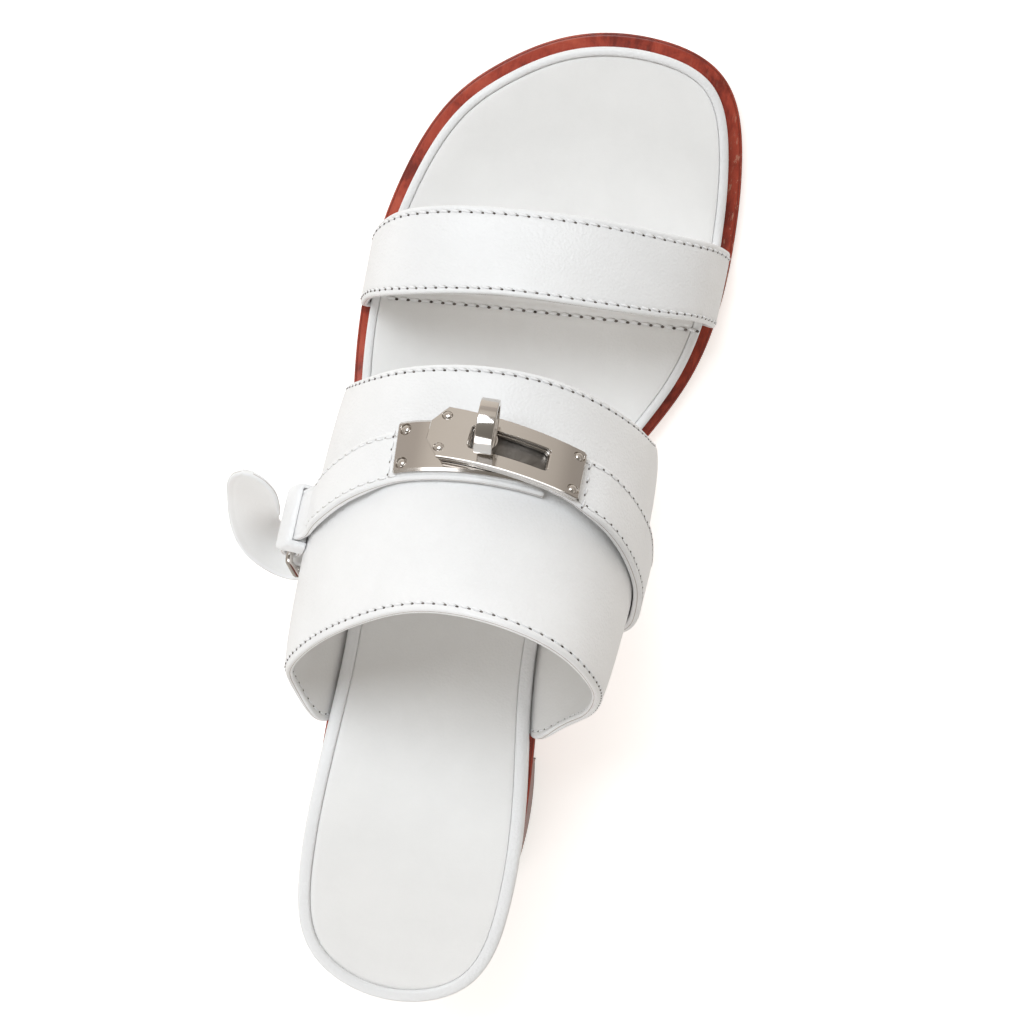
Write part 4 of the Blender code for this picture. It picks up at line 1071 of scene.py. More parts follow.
def medial_line(distance):
    """Follows the slotted plate, then bends down to run straight to the sole."""
    distance = np.asarray(distance, float)
    askew = SLOTTED_TURN * smooth_step(distance, -45.0, SLOTTED_FROM)
    past = np.minimum(distance - SLOTTED_FROM, 0.0)
    bent = slotted_line(SLOTTED_FROM)[0] + 2.4 * (1.0 - np.exp(past / 16.0))
    return np.where(distance > SLOTTED_FROM, slotted_line(distance)[0], bent), askew


def on_line(line, distance, width, lift):
    distance, width = np.asarray(distance, float), np.asarray(width, float)
    middle, askew = line(distance)
    return on_belt(distance + askew * width, middle + width, lift)


print("belt runs", round(float(BELT_RUN[0])), "to", round(float(BELT_RUN[-1])), "mm from the crown")

# %% [markdown]
# ## The belt and the side strap
# The medial half climbs from the sole and ends under the slotted plate. The lateral half starts
# under the fixed plate, runs down to the buckle and turns back round its bar. The side strap
# comes up from the sole, turns round the lower bar, and its free tail curls out behind.

# %% Belts
BAR_UPPER, BAR_LOWER, FOLD_END, BELT_FOOT = 70.5, 78.5, 63.0, 91.2
BAR, SIDE_HALF = 0.9, 6.2
TURN_RADIUS = BAR + GAP + SIDE_BELT / 2.0
BAR_LIFT = BELT_MIDDLE + TURN_RADIUS
CHAMFER_FROM, CHAMFER_HALF = 12.55, 2.35
SLOT_FROM, SLOT_TO, SLOT_HALF = -7.9, 7.2, 2.75
COLUMNS = np.linspace(-1.0, 1.0, 9)


def belt_rows(line, path, halves):
    """Rows of points across a belt, along a path of (distance, lift)."""
    return np.array([on_line(line, d, COLUMNS * half, lift) for (d, lift), half in zip(path, halves)])


def round_bar(bar, first, last):
    """A path of (distance, lift) round one of the buckle's bars, between two angles in degrees."""
    turns = np.radians(np.linspace(first, last, 13))
    return [(bar + TURN_RADIUS * np.cos(a), BAR_LIFT + TURN_RADIUS * np.sin(a)) for a in turns]


def medial_under(distance):
    return GAP + (LAP_LIFT - GAP) * smooth_step(distance, -42.0, -8.0)


medial_d = np.linspace(-BELT_FOOT, SLOT_FROM - 1.6, 76)
medial_thick = MEDIAL_BELT + (SKIVED - MEDIAL_BELT) * smooth_step(medial_d, -22.0, SLOTTED_FROM)
medial_half_width = 6.8 + 0.8 * smooth_step(-medial_d, 14.0, 36.0) - 0.6 * smooth_step(medial_d, -19.0, -12.0)
medial_path = list(zip(medial_d, medial_under(medial_d) + medial_thick))
MEDIAL_GRID = belt_rows(medial_line, medial_path, medial_half_width)
strip("medial_belt", MEDIAL_GRID, medial_thick, ["belt_medial"], BELT_SEAMS, -1.0, step=1.0)


def lateral_middle(distance):
    """The lateral belt's middle, which rises to the outside of the buckle's upper bar."""
    return BELT_MIDDLE + 2.0 * TURN_RADIUS * smooth_step(distance, BAR_UPPER - 12.5, BAR_UPPER - 1.5)


def fullness(distance):
    """Between the plate and the keeper the belt is padded and stands off the band a little."""
    return smooth_step(distance, 25.5, 34.0) * (1.0 - smooth_step(distance, 50.0, 61.0))


LEATHER_END = -8.3
PADDING, BULGE, SAG, STANDS_OFF = 0.7, 0.35, 0.9, 0.8
low_side = np.clip(COLUMNS, 0.0, 1.0)
lateral_path = [(d, float(lateral_middle(d))) for d in np.linspace(LEATHER_END, BAR_UPPER - 1.5, 64)]
lateral_path += round_bar(BAR_UPPER, 90.0, -90.0)
lateral_path += [(d, BELT_MIDDLE) for d in (BAR_UPPER - 2.5, BAR_UPPER - 5.0, FOLD_END)]
lateral_full = np.array([float(fullness(d)) for d, _ in lateral_path])
lateral_thick = SIDE_BELT + PADDING * lateral_full
lateral_rows = []
for (d, lift), full in zip(lateral_path, lateral_full):
    widths = COLUMNS * SIDE_HALF + SAG * full * low_side
    lifts = lift + BULGE * full + STANDS_OFF * full * low_side**2
    lateral_rows.append(on_line(lateral_line, d, widths, lifts))
LATERAL_GRID = np.array(lateral_rows)
strip(
    "lateral_belt", LATERAL_GRID, lateral_thick, ["belt_lateral"], BELT_SEAMS, -1.0, lateral_thick / 2.0,
    step=0.8,
)

# %% [markdown]
# ## Side strap and its free tail
# The strap comes up the outer side, goes round the buckle's lower bar and leaves it as a tail that
# twists and curls away from the belt. The tail has no surface to lie on, so it is given as a few
# places and twists from its root, with a smooth curve through them.

# %% Side strap and tail
TAIL_ROWS = [
    # from the root: across, along, up, twist in quarter turns, share of the width
    (-1.6, -0.9, -1.1, 0.0, 1.0),
    (-4.2, -1.0, -1.2, 0.02, 1.0),
    (-7.3, 0.0, -0.1, 0.08, 1.0),
    (-9.8, 1.9, 1.8, 0.22, 1.0),
    (-11.4, 4.2, 4.0, 0.42, 1.0),
    (-12.3, 7.0, 6.7, 0.66, 1.0),
    (-12.7, 10.2, 9.8, 0.87, 1.03),
    (-12.9, 13.6, 13.2, 1.0, 1.05),
    (-13.3, 16.6, 16.3, 1.0, 0.97),
    (-13.7, 18.6, 18.3, 1.0, 0.78),
    (-14.0, 20.0, 19.7, 1.0, 0.50),
    (-14.2, 20.7, 20.4, 1.0, 0.24),
]
TAIL_ROOT, TAIL_LEAVES = BAR_LOWER + 3.4, 0.5
outer_lift = BAR_LIFT + TURN_RADIUS
side_path = [(d, BELT_MIDDLE) for d in np.linspace(BELT_FOOT, BAR_LOWER + 1.0, 14)]
side_path += round_bar(BAR_LOWER, 250.0, 90.0)
side_path += [(BAR_LOWER + 1.8, outer_lift + 0.1), (TAIL_ROOT, outer_lift + TAIL_LEAVES)]
side_rows = belt_rows(lateral_line, side_path, [SIDE_HALF] * len(side_path))
root = on_line(lateral_line, TAIL_ROOT, 0.0, outer_lift + TAIL_LEAVES)
start = side_rows[-1][-1] - side_rows[-1][0]
start /= np.linalg.norm(start)
end_direction = np.array([-0.99, -0.03, -0.14])
tail_table = smooth_curve(np.array([(0.0, 0.0, 0.0, 0.0, 1.0), *TAIL_ROWS]), 60)[1:]
tail = []
for across, along, up, twisted, share in tail_table:
    direction = start * np.cos(twisted * np.pi / 2.0) + end_direction * np.sin(twisted * np.pi / 2.0)
    direction *= SIDE_HALF * share / np.linalg.norm(direction)
    tail.append(root + np.array([across, along, up]) + direction * COLUMNS[:, None])
SIDE_GRID = np.vstack([side_rows, np.array(tail)])
strip("side_strap_leather", SIDE_GRID, SIDE_BELT, ["side_strap"], TAIL_SEAMS, 1.0, SIDE_BELT / 2.0, step=0.6)

# %% [markdown]
# ## The keeper
# A keeper is a narrow leather loop that holds the belt down above the buckle. Its cross-section is
# an arch over the belt's thickness, lofted over the loop's width, with its edges eased at both ends.

# %% Keeper
KEEPER_FROM, KEEPER_TO, KEEPER = 62.5, 66.8, 1.2
inner, outer = SIDE_HALF + GAP, SIDE_HALF + GAP + KEEPER
keeper_rows = []
for d in np.linspace(KEEPER_FROM, KEEPER_TO, 7):
    near_end = min(d - KEEPER_FROM, KEEPER_TO - d)
    tuck = 0.25 * (1.0 - float(smooth_step(near_end, 0.0, 0.7)))
    low = float(lateral_middle(d)) + SIDE_BELT / 2.0 + GAP
    top = low + KEEPER - tuck
    half = [(-outer + tuck, GAP), (-outer + tuck, top - 1.1), (-outer + 0.2 + tuck, top - 0.45)]
    half += [(-outer + 0.65, top - 0.1), (-outer + 1.2, top)]
    arch = half + [(w, top) for w in np.linspace(-outer + 2.2, outer - 2.2, 9)]
    arch += [(-w, lift) for w, lift in reversed(half)]
    arch += [(inner, GAP), (inner, low)] + [(w, low) for w in np.linspace(inner - 1.0, 1.0 - inner, 9)]
    arch += [(-inner, low), (-inner, GAP)]
    widths, lifts_up = np.array(arch).T
    keeper_rows.append(on_line(lateral_line, d, widths, lifts_up))
finish_piece("belt_keeper", closed_mesh("keeper", keeper_rows), [CALF], ["keeper"], sharp=55)

# %% [markdown]
# ## Metal plates
# A plate is drawn flat, in distance and width, as a metalworker would: cut to outline, slotted,
# countersunk for its rivets and its edges broken. Booleans and a Bevel modifier do that on flat
# stock, where they are reliable. Only then are its points bent onto the belt.

# %% Flat stock and its cutters


def stock_of(shape):
    made = linked("stock", bpy.data.meshes.new("stock"))
    shape.to_mesh(made.data)
    shape.free()
    return made


def prism(outline, low, high):
    """A flat-stock solid: an outline of (distance, width) between two lifts."""
    shape = bmesh.new()
    top, bottom = [[shape.verts.new((d, w, lift)) for d, w in outline] for lift in (high, low)]
    shape.faces.new(top)
    shape.faces.new(bottom[::-1])
    for i in range(len(outline)):
        j = (i + 1) % len(outline)
        shape.faces.new((top[i], bottom[i], bottom[j], top[j]))
    bmesh.ops.recalc_face_normals(shape, faces=shape.faces)
    return stock_of(shape)


def sink(distance, width, top, wide, deep):
    """The cutter of a rivet's recess: a short cone that opens upwards."""
    shape = bmesh.new()
    bmesh.ops.create_cone(
        shape, cap_ends=True, segments=40, radius1=wide - 0.5 * deep, radius2=wide + 0.1, depth=deep + 0.2,
        matrix=Matrix.Translation((distance, width, top + 0.1 - deep / 2.0)),
    )
    return stock_of(shape)


def rounded_box(x0, x1, half, radius, steps=6):
    corners = []
    low, high, side = x0 + radius, x1 - radius, half - radius
    for quarter, (x, w) in enumerate([(high, side), (low, side), (low, -side), (high, -side)]):
        for a in np.linspace(0.0, np.pi / 2.0, steps + 1) + quarter * np.pi / 2.0:
            corners.append((x + radius * np.cos(a), w + radius * np.sin(a)))
    return corners


# %% Bending a plate


def read_vectors(items, label):
    values = np.zeros(3 * len(items), np.float32)
    items.foreach_get(label, values)
    return values.reshape(-1, 3).astype(float)


def bending(line, spots):
    """How the bend turns a direction at each spot: the flat stock's three axes as columns.
    It is read on the plate's middle line, because a plate bends one way only."""
    middle = spots * (1.0, 0.0, 1.0)
    along, across = [
        place(on_line(line, *(middle + step).T)) - place(on_line(line, *(middle - step).T))
        for step in (np.array([6.0, 0.0, 0.0]), np.array([0.0, 4.0, 0.0]))
    ]
    along = unit(along)
    up = unit(np.cross(along, across))
    return np.stack([along, np.cross(up, along), up], axis=-1)


SLICE, BROKEN_EDGE, NEARLY = 0.7, 0.07, 0.02


def bent_plate(name, stock, holes, sinks, line, chamfer, replaced=(), finish=None):
    """Plates are polished flat, so their shading is worked out flat and bent along with them.
    Holes are chamfered like the outline; the rivets' sinks are cut after that."""
    for cutters, width, segments, angle in ((holes, chamfer, 1, 60.0), (sinks, BROKEN_EDGE, 2, 25.0)):
        for cutter in cutters:
            fill(stock.modifiers.new("cut", "BOOLEAN"), operation="DIFFERENCE", object=cutter, solver="EXACT")
        fill(
            stock.modifiers.new("broken edges", "BEVEL"), width=width, segments=segments,
            limit_method="ANGLE", angle_limit=np.radians(angle),
        )
    flat = evaluated(stock)
    shape = bmesh.new()
    shape.from_mesh(flat)
    reach = [v.co.x for v in shape.verts]
    for x in np.arange(min(reach) + SLICE / 2.0, max(reach), SLICE):
        everything = shape.verts[:] + shape.edges[:] + shape.faces[:]
        bmesh.ops.bisect_plane(shape, geom=everything, plane_co=(x, 0, 0), plane_no=(1, 0, 0))
    bmesh.ops.triangulate(shape, faces=shape.faces)
    shape.to_mesh(flat)
    shape.free()
    closed_and_smooth(flat, sharp=32)
    for old in holes + sinks:
        bpy.data.objects.remove(old)
    stock.modifiers.clear()
    stock.data = flat
    fill(stock.modifiers.new("weighted normals", "WEIGHTED_NORMAL"), keep_sharp=True, weight=100)
    mesh = evaluated(stock)
    mesh.name = name
    bpy.data.objects.remove(stock)

    spots = read_vectors(mesh.vertices, "co")
    flat_normals = read_vectors(mesh.corner_normals, "vector")
    face_normals = read_vectors(mesh.polygons, "normal")
    tilt = np.abs(face_normals[:, 2])
    level = tilt > 0.999
    plane = (tilt < NEARLY) | (np.abs(tilt - np.sqrt(0.5)) < NEARLY) | level
    face_normals[level] = np.sign(face_normals[level, 2:]) * (0.0, 0.0, 1.0)
    flat_normals = np.where(np.repeat(plane, 3)[:, None], np.repeat(face_normals, 3, axis=0), flat_normals)
    corners = np.zeros(len(mesh.loops), np.int32)
    mesh.loops.foreach_get("vertex_index", corners)
    frames = bending(line, spots)
    bent_normals = np.einsum("nij,nj->ni", frames[corners], flat_normals)
    mesh.vertices.foreach_set("co", place(on_line(line, *spots.T)).ravel())
    mesh.update()
    mesh.normals_split_custom_set(bent_normals.tolist())
    return finish_piece(name, mesh, [finish or NICKEL], replaced, shaded=True)


# %% The three plates and the slot's floor of painted shade
PLATE_TO, PLATE_HALF = 24.6, 6.25
RIVETS = [
    # line, distance, width, top of the plate
    (fixed_line, 22.3, 4.1, PLATE_LIFT + FIXED_PLATE),
    (slotted_line, 12.45, 4.0, SLOTTED_TOP),
    (slotted_line, -13.2, 4.35, SLOTTED_TOP),
]
FIXED_FROM, FIXED_TOP = -9.2, PLATE_LIFT + FIXED_PLATE
fixed_outline = [(FIXED_FROM, PLATE_HALF), (PLATE_TO - 0.5, PLATE_HALF), (PLATE_TO, PLATE_HALF - 0.5)]
fixed_outline = [(d, -w) for d, w in fixed_outline] + fixed_outline[::-1]
fixed_sinks = [sink(RIVETS[0][1], side * RIVETS[0][2], FIXED_TOP, 1.42, 0.5) for side in (-1.0, 1.0)]
fixed_stock = prism(fixed_outline, PLATE_LIFT - 0.2, FIXED_TOP)
bent_plate("fixed_plate", fixed_stock, [], fixed_sinks, fixed_line, 0.6, ["clasp_plate"])

BACK_TOP = SLOTTED_TOP - 1.3


def slotted_shape(inset):
    """The slotted plate's outline, its lateral corners cut off."""
    half, start, cut = PLATE_HALF - inset, SLOTTED_FROM + inset, 0.4 * inset
    side = [(start, half - 0.4), (start + 0.4, half)]
    side += [(CHAMFER_FROM - cut, half), (SLOTTED_TO - inset, CHAMFER_HALF - cut)]
    return [(d, -w) for d, w in side] + side[::-1]


def slot(inset, low, high):
    return prism(rounded_box(SLOT_FROM + inset, SLOT_TO - inset, SLOT_HALF - inset, 0.8), low, high)


slotted_sinks = [sink(d, side * w, top, 1.1, 0.3) for _, d, w, top in RIVETS[1:] for side in (-1.0, 1.0)]
bent_plate(
    "slotted_plate", prism(slotted_shape(0.0), BACK_TOP, SLOTTED_TOP),
    [slot(0.0, BACK_TOP - 1.0, SLOTTED_TOP + 1.0)], slotted_sinks, slotted_line, 0.24,
    ["clasp_slotted_plate"],
)
bent_plate(
    "slotted_back_plate", prism(slotted_shape(0.15), LAP_LIFT + 0.1, BACK_TOP - 0.02),
    [slot(0.12, LAP_LIFT - 1.0, SLOTTED_TOP)], [], slotted_line, 0.18,
)
# A dark sheet on the fixed plate under the slot: painted shade of the slot's inside.
slot_shade_floor = slot(-0.6, FIXED_TOP - 0.1, FIXED_TOP + 0.12)
bent_plate("slot_shade_floor", slot_shade_floor, [], [], slotted_line, 0.05, finish=SLOT_SHADE_METAL)

# %% [markdown]
# ## Turning ring and post
# The ring is the clasp's lock: it passes through the slot and turns across it. A lathe shape is
# a profile swung round an axis. The ring and its pin ride on a body of their own, named ring, and
# everything else stays on the sandal.

# %% Turned shapes


def spot_on(line, distance, width, lift):
    return Vector(place(on_line(line, distance, width, lift))[0])


def standing(line, distance, width, lift):
    """A matrix that stands on the belt: X along it to the lateral side, Y to the heel, Z off the foot."""
    origin = spot_on(line, distance, width, lift)
    z = (spot_on(line, distance, width, lift + 1.0) - origin).normalized()
    y = spot_on(line, distance, width + 1.0, lift) - origin
    y = (y - z * y.dot(z)).normalized()
    return Matrix.Translation(origin) @ Matrix((y.cross(z), y, z)).transposed().to_4x4()


def lathe(name, profile, axis, segments, matrix):
    """A closed profile of (radius, height) in millimetres, swung round the local X or Z axis."""
    mesh = bpy.data.meshes.new(name)
    points = []
    for angle in np.linspace(0.0, 2.0 * np.pi, segments, endpoint=False):
        for radius, height in profile:
            u, v = radius * np.cos(angle), radius * np.sin(angle)
            spot = Vector((height, u, v)) if axis == "X" else Vector((u, v, height))
            points.append(matrix @ (spot * MM))
    mesh.from_pydata([tuple(p) for p in points], [], quads(segments, len(profile), True))
    return mesh


def rounded(profile, radius, steps=4):
    """Rounds each corner of a closed profile."""
    made = []
    profile = np.array(profile, float)
    for before, here, after in zip(np.roll(profile, 1, axis=0), profile, np.roll(profile, -1, axis=0)):
        before, after = before - here, after - here
        cut = min(radius, np.linalg.norm(before) * 0.45, np.linalg.norm(after) * 0.45)
        first, last = here + before / np.linalg.norm(before) * cut, here + after / np.linalg.norm(after) * cut
        for t in np.linspace(0.0, 1.0, steps + 1):
            made.append(tuple((1 - t) ** 2 * first + 2 * t * (1 - t) * here + t**2 * last))
    return made


# %% Ring and post
RING_AT, RING_TURN, RING_UPRIGHT = 4.0, 0.1, 3.0
RING_RADIUS, RIM_HALF, WEB_HALF, RING_HOLE = 6.0, 2.025, 1.15, 1.0
RING_LIFT = SLOTTED_TOP + 0.7 + RING_RADIUS
PIN, POST_BORE, POST_RADIUS = 1.45, 1.8, 2.45


def ring_line(distance):
    return slotted_line(distance)[0], RING_TURN


def ring_matrix(lift):
    upright = standing(ring_line, RING_AT - RING_UPRIGHT, 0.0, SLOTTED_TOP)
    on_plate = spot_on(ring_line, RING_AT, 0.0, SLOTTED_TOP)
    upright.translation = on_plate + upright.col[2].xyz * (lift - SLOTTED_TOP) * MM
    return upright


ring_profile = [(RING_HOLE, WEB_HALF), (4.55, WEB_HALF), (4.9, RIM_HALF), (RING_RADIUS, RIM_HALF)]
ring_profile = [(r, -side) for r, side in ring_profile] + ring_profile[::-1]
ring_mesh = lathe("turn_ring", rounded(ring_profile, 0.32), "X", 128, ring_matrix(RING_LIFT))
finish_piece("turning_ring", ring_mesh, [NICKEL], ["turn_ring"], "ring", 40)
pin_foot, pin_head = LAP_LIFT + 0.1 - RING_LIFT, -RING_RADIUS + 0.9
pin_profile = [(0.02, pin_foot), (PIN, pin_foot), (PIN, pin_head - 0.7), (PIN, pin_head), (0.02, pin_head)]
pin_mesh = lathe("pin", rounded(pin_profile, 0.15), "Z", 48, ring_matrix(RING_LIFT))
finish_piece("ring_pin", pin_mesh, [NICKEL], (), "ring", 40)
post_foot = PLATE_LIFT + FIXED_PLATE + GAP
post_height = SLOTTED_TOP + GAP - post_foot
post_profile = [(POST_BORE, post_height), (POST_RADIUS, post_height), (POST_RADIUS, 0.0), (POST_BORE, 0.0)]
post_mesh = lathe("clasp_post", rounded(post_profile, 0.2), "Z", 64, ring_matrix(post_foot))
finish_piece("round_post", post_mesh, [NICKEL], ["clasp_post"], sharp=40)

# %% [markdown]
# ## The side buckle
# The buckle is one bent wire. A curve with a bevel depth is the plainest way to such a frame: a
# rounded box is laid on the belt's directions, so that both bars sit inside the leather's folds.

# %% Side buckle
BUCKLE_HALF = 7.7
wire_d, wire_w = np.array(rounded_box(BAR_UPPER, BAR_LOWER, BUCKLE_HALF, 1.3, 5)).T
wire_points = place(on_line(lateral_line, wire_d, wire_w, BAR_LIFT))
wire = bpy.data.curves.new("buckle_wire", "CURVE")
fill(wire, dimensions="3D", bevel_depth=BAR * MM, bevel_resolution=5)
spline = wire.splines.new("POLY")
spline.points.add(len(wire_points) - 1)
for spot, position in zip(spline.points, wire_points):
    spot.co = (*position, 1.0)
spline.use_cyclic_u = True
wire_object = linked("buckle_wire", wire)
buckle_mesh = evaluated(wire_object)
bpy.data.objects.remove(wire_object)
finish_piece("buckle_frame", buckle_mesh, [NICKEL], ["side_buckle"])

# %% [markdown]
# ## Stitches with Geometry Nodes
# A seam is one stitch repeated, so it is made by a node tree and not by hand. The seam's line
# is cut into equal lengths; on each point stands an instance of a thread, a needle hole and a
# grey streak beside it, turned along the line and out of the leather. The hole and the streak are
# painted shade. The tree ends in plain faces, because instances don't survive an export.

# %% The stitch tree


def coated(tree, geometry, material):
    smooth = result(tree, "GeometryNodeSetShadeSmooth", Geometry=geometry)
    return result(tree, "GeometryNodeSetMaterial", Geometry=smooth, Material=material)


def repeated(tree, points, shape, rotation):
    made = result(tree, "GeometryNodeInstanceOnPoints", Points=points, Instance=shape, Rotation=rotation)
    return result(tree, "GeometryNodeRealizeInstances", Geometry=made)


def outward_direction(tree):
    return result(tree, "GeometryNodeInputNamedAttribute", data_type="FLOAT_VECTOR", Name="outward")


def stitch_tree():
    inputs = {"Line": "Geometry", "Pitch": 0.0027, "Length": 0.0021, "Width": 0.00066}
    inputs |= {"Slant": 0.12, "Seed": 4}
    inputs |= {label: "Material" for label in ("Thread", "Hole", "Pucker")}
    tree, given, end = new_tree("stitches", "GeometryNodeTree", inputs, {"Stitches": "Geometry"})
    curve = result(tree, "GeometryNodeMeshToCurve", Mesh=given["Line"])
    spaced = result(tree, "GeometryNodeResampleCurve", mode="LENGTH", Curve=curve, Length=given["Pitch"])

    def vector(measures):
        parts = [measure and maths(tree, "MULTIPLY", given[measure[0]], measure[1]) for measure in measures]
        return result(tree, "ShaderNodeCombineXYZ", *parts)

    stitch = node(tree, "GeometryNodeJoinGeometry")
    # Hole is painted shade of the needle hole, and Pucker a grey streak of painted shade beside the thread.
    for material, size, shift in (
        # half sizes along, across and up; shifts along, across and up; all as shares of an input
        ("Thread", (("Length", 0.5), ("Width", 0.5), ("Width", 0.34)), (None, None, ("Width", 0.14))),
        ("Hole", (("Width", 0.62), ("Width", 0.42), ("Width", 0.25)), (("Pitch", 0.46), ("Width", -0.12))),
        ("Pucker", (("Length", 0.38), ("Width", 0.16), ("Width", 0.18)), (("Pitch", 0.12), ("Width", 0.46))),
    ):
        ball = result(tree, "GeometryNodeMeshUVSphere", Segments=8, Rings=6, Radius=1.0)
        sizes, shift = vector(size), vector(shift)
        part = result(tree, "GeometryNodeTransform", Geometry=ball, Scale=sizes, Translation=shift)
        feed(stitch.inputs["Geometry"], coated(tree, part, given[material]))

    tangent = result(tree, "GeometryNodeInputTangent")
    along = result(tree, "FunctionNodeAlignRotationToVector", axis="X", Vector=tangent)
    upright = result(
        tree, "FunctionNodeAlignRotationToVector", axis="Z", pivot_axis="X", Rotation=along,
        Vector=outward_direction(tree),
    )
    spread = node(
        tree, "FunctionNodeRandomValue", None, None, 0.6, 1.4, data_type="FLOAT", Seed=given["Seed"]
    )
    slant = maths(tree, "MULTIPLY", spread.outputs[1], given["Slant"])
    tilt = result(tree, "FunctionNodeAxisAngleToRotation", Angle=slant)
    turned = result(
        tree, "FunctionNodeRotateRotation", rotation_space="LOCAL", Rotation=upright, Rotate_By=tilt
    )
    fill(end, Stitches=repeated(tree, spaced, stitch.outputs["Geometry"], turned))
    return tree


STITCHES = stitch_tree()
print("stitch tree with", len(STITCHES.nodes), "nodes")

# %% [markdown]
# ## Sewing the straps
# Each strap has a seam along both edges, and the same thread shows again on the lining. A seam's
# line is read off the strap's own grid, so that it follows every edge at its true distance.

# %% Growing a seam


def drop_empty_slots(mesh):
    """A tree's own primitives bring an empty material slot along; it goes."""
    kept = [k for k, material in enumerate(mesh.materials) if material is not None]
    index = [kept.index(face.material_index) for face in mesh.polygons]
    finishes = [mesh.materials[k] for k in kept]
    mesh.materials.clear()
    for material in finishes:
        mesh.materials.append(material)
    mesh.polygons.foreach_set("material_index", index)


def grown(name, tree, settings, spots, edges, normals, replaced=()):
    """A piece that a tree makes of points, each with its outward direction."""
    mesh = bpy.data.meshes.new(name)
    mesh.from_pydata(spots, edges, [])
    layer = mesh.attributes.new("outward", "FLOAT_VECTOR", "POINT")
    layer.data.foreach_set("vector", np.asarray(normals, np.float32).ravel())
    start = linked(name, mesh)
    nodes = start.modifiers.new("tree", "NODES")
    nodes.node_group = tree
    sockets = {item.name: item.identifier for item in tree.interface.items_tree if item.in_out == "INPUT"}
    for label, value in settings.items():
        nodes[sockets[label]] = value
    start.update_tag()
    made = evaluated(start)
    bpy.data.objects.remove(start)
    drop_empty_slots(made)
    return finish_piece(name, made, [], replaced, shaded=True)


def sewn(name, lines, **values):
    """Stitches along lines. Each line is (points, normals) in the last's directions."""
    spots, normals, edges = [], [], []
    for line_points, line_normals in lines:
        first = len(spots)
        spots += place(line_points).tolist()
        normals += place_direction(line_normals).tolist()
        edges += [(first + i, first + i + 1) for i in range(len(line_points) - 1)]
    settings = {"Thread": THREAD, "Hole": HOLE_SHADE, "Pucker": PUCKER_SHADE, **values}
    return grown(name, STITCHES, settings, spots, edges, normals)


def seam_line(grid, side, inset, facing, depth, start, end, step=0.6):
    """A seam's points and normals on a grid: side 0 is the front edge, 1 the rear one. start and end
    are shares of the strap's length, and depth is how far the thread sinks in."""
    stations, columns = grid.shape[:2]
    middle_run = np.linalg.norm(np.diff(grid[:, columns // 2], axis=0), axis=1).sum()
    rows = np.linspace(start, end, max(4, int(middle_run * (end - start) / step))) * (stations - 1)
    share = inset / np.interp(rows, np.arange(stations), widths_of(grid))
    column = (share if side == 0 else 1.0 - share) * (columns - 1)
    normal = read_normal(grid, rows, column) * facing
    return read_grid(grid, rows, column) - normal * depth, normal


def seam_pair(grid, insets, *how):
    return [seam_line(grid, side, insets[side], *how) for side in (0, 1)]


# %% Strap seams
STRAP_PITCH, FINE_THREAD, SEWN_IN = 0.0027, 0.0005, 0.1
front_lines = seam_pair(FRONT_SEEN, FRONT_SEAMS, 1.0, SEWN_IN, 0.06, 0.94)
sewn("front_strap_stitches", front_lines, Pitch=STRAP_PITCH, Slant=-0.13)
band_lines = seam_pair(BAND_SEEN, BAND_SEAMS, 1.0, SEWN_IN, 0.05, 0.95)
sewn("band_stitches", band_lines, Pitch=STRAP_PITCH, Slant=-0.13)


def inside(line, thickness):
    """The same seam seen on the lining."""
    line_points, line_normals = line
    return line_points - line_normals * (thickness - 0.15), -line_normals


lining_lines = [inside(line, WALL) for line in front_lines + band_lines]
sewn("lining_stitches", lining_lines, Pitch=STRAP_PITCH, Width=FINE_THREAD, Slant=0.05)

# %% [markdown]
# ## Sewing the belts
# The belts are sewn with a finer thread, along both edges and once across beside each plate. On
# the padded lateral belt the line is lifted with the leather's thickness.

# %% Belt seams
LATERAL_SEWN = (0.342, 0.66)
BELT_STITCH = {"Pitch": 0.0026, "Width": FINE_THREAD, "Length": 0.0019, "Slant": -0.1}
belt_lines = seam_pair(MEDIAL_GRID, BELT_SEAMS, -1.0, SEWN_IN, 0.02, 0.92)
lateral_lines = []
for spots, normals in seam_pair(LATERAL_GRID, BELT_SEAMS, -1.0, SEWN_IN, *LATERAL_SEWN):
    rows = np.linspace(*LATERAL_SEWN, len(spots)) * (len(LATERAL_GRID) - 1)
    thick = np.interp(rows, range(len(LATERAL_GRID)), lateral_thick)
    lateral_lines.append((spots + normals * thick[:, None] / 2.0, normals))


def cross_line(line, distance, half, lift):
    """A row of stitches straight across the belt."""
    distances, widths = np.full(24, distance), np.linspace(-half, half, 24)
    spots, above = [on_line(line, distances, widths, up) for up in (lift, lift + 1.0)]
    return spots, above - spots


medial_top = float(medial_under(-16.3)) + SKIVED + 0.15
belt_lines.append(cross_line(slotted_line, SLOTTED_FROM - 1.7, 5.2, medial_top))
belt_lines.append(cross_line(fixed_line, PLATE_TO + 1.6, 4.6, GAP + SIDE_BELT + 0.02))
sewn("belt_stitches", belt_lines, **BELT_STITCH)
# Here the holes take the lighter pucker grey because this side is lit: painted shade, lighter where the light
# falls.
sewn("side_belt_stitches", lateral_lines, **BELT_STITCH, Hole=PUCKER_SHADE)
tail_front, tail_rear = seam_pair(SIDE_GRID, TAIL_SEAMS, 1.0, SEWN_IN - SIDE_BELT / 2.0, 0.42, 0.95)
tail_loop = [np.vstack([front, rear[::-1]]) for front, rear in zip(tail_front, tail_rear)]
sewn("tail_stitches", [tail_loop], **BELT_STITCH)

# %% [markdown]
# ## The seam of the sock
# One row of larger stitches holds the rear sock's lap down, in the dip that was raised for it.

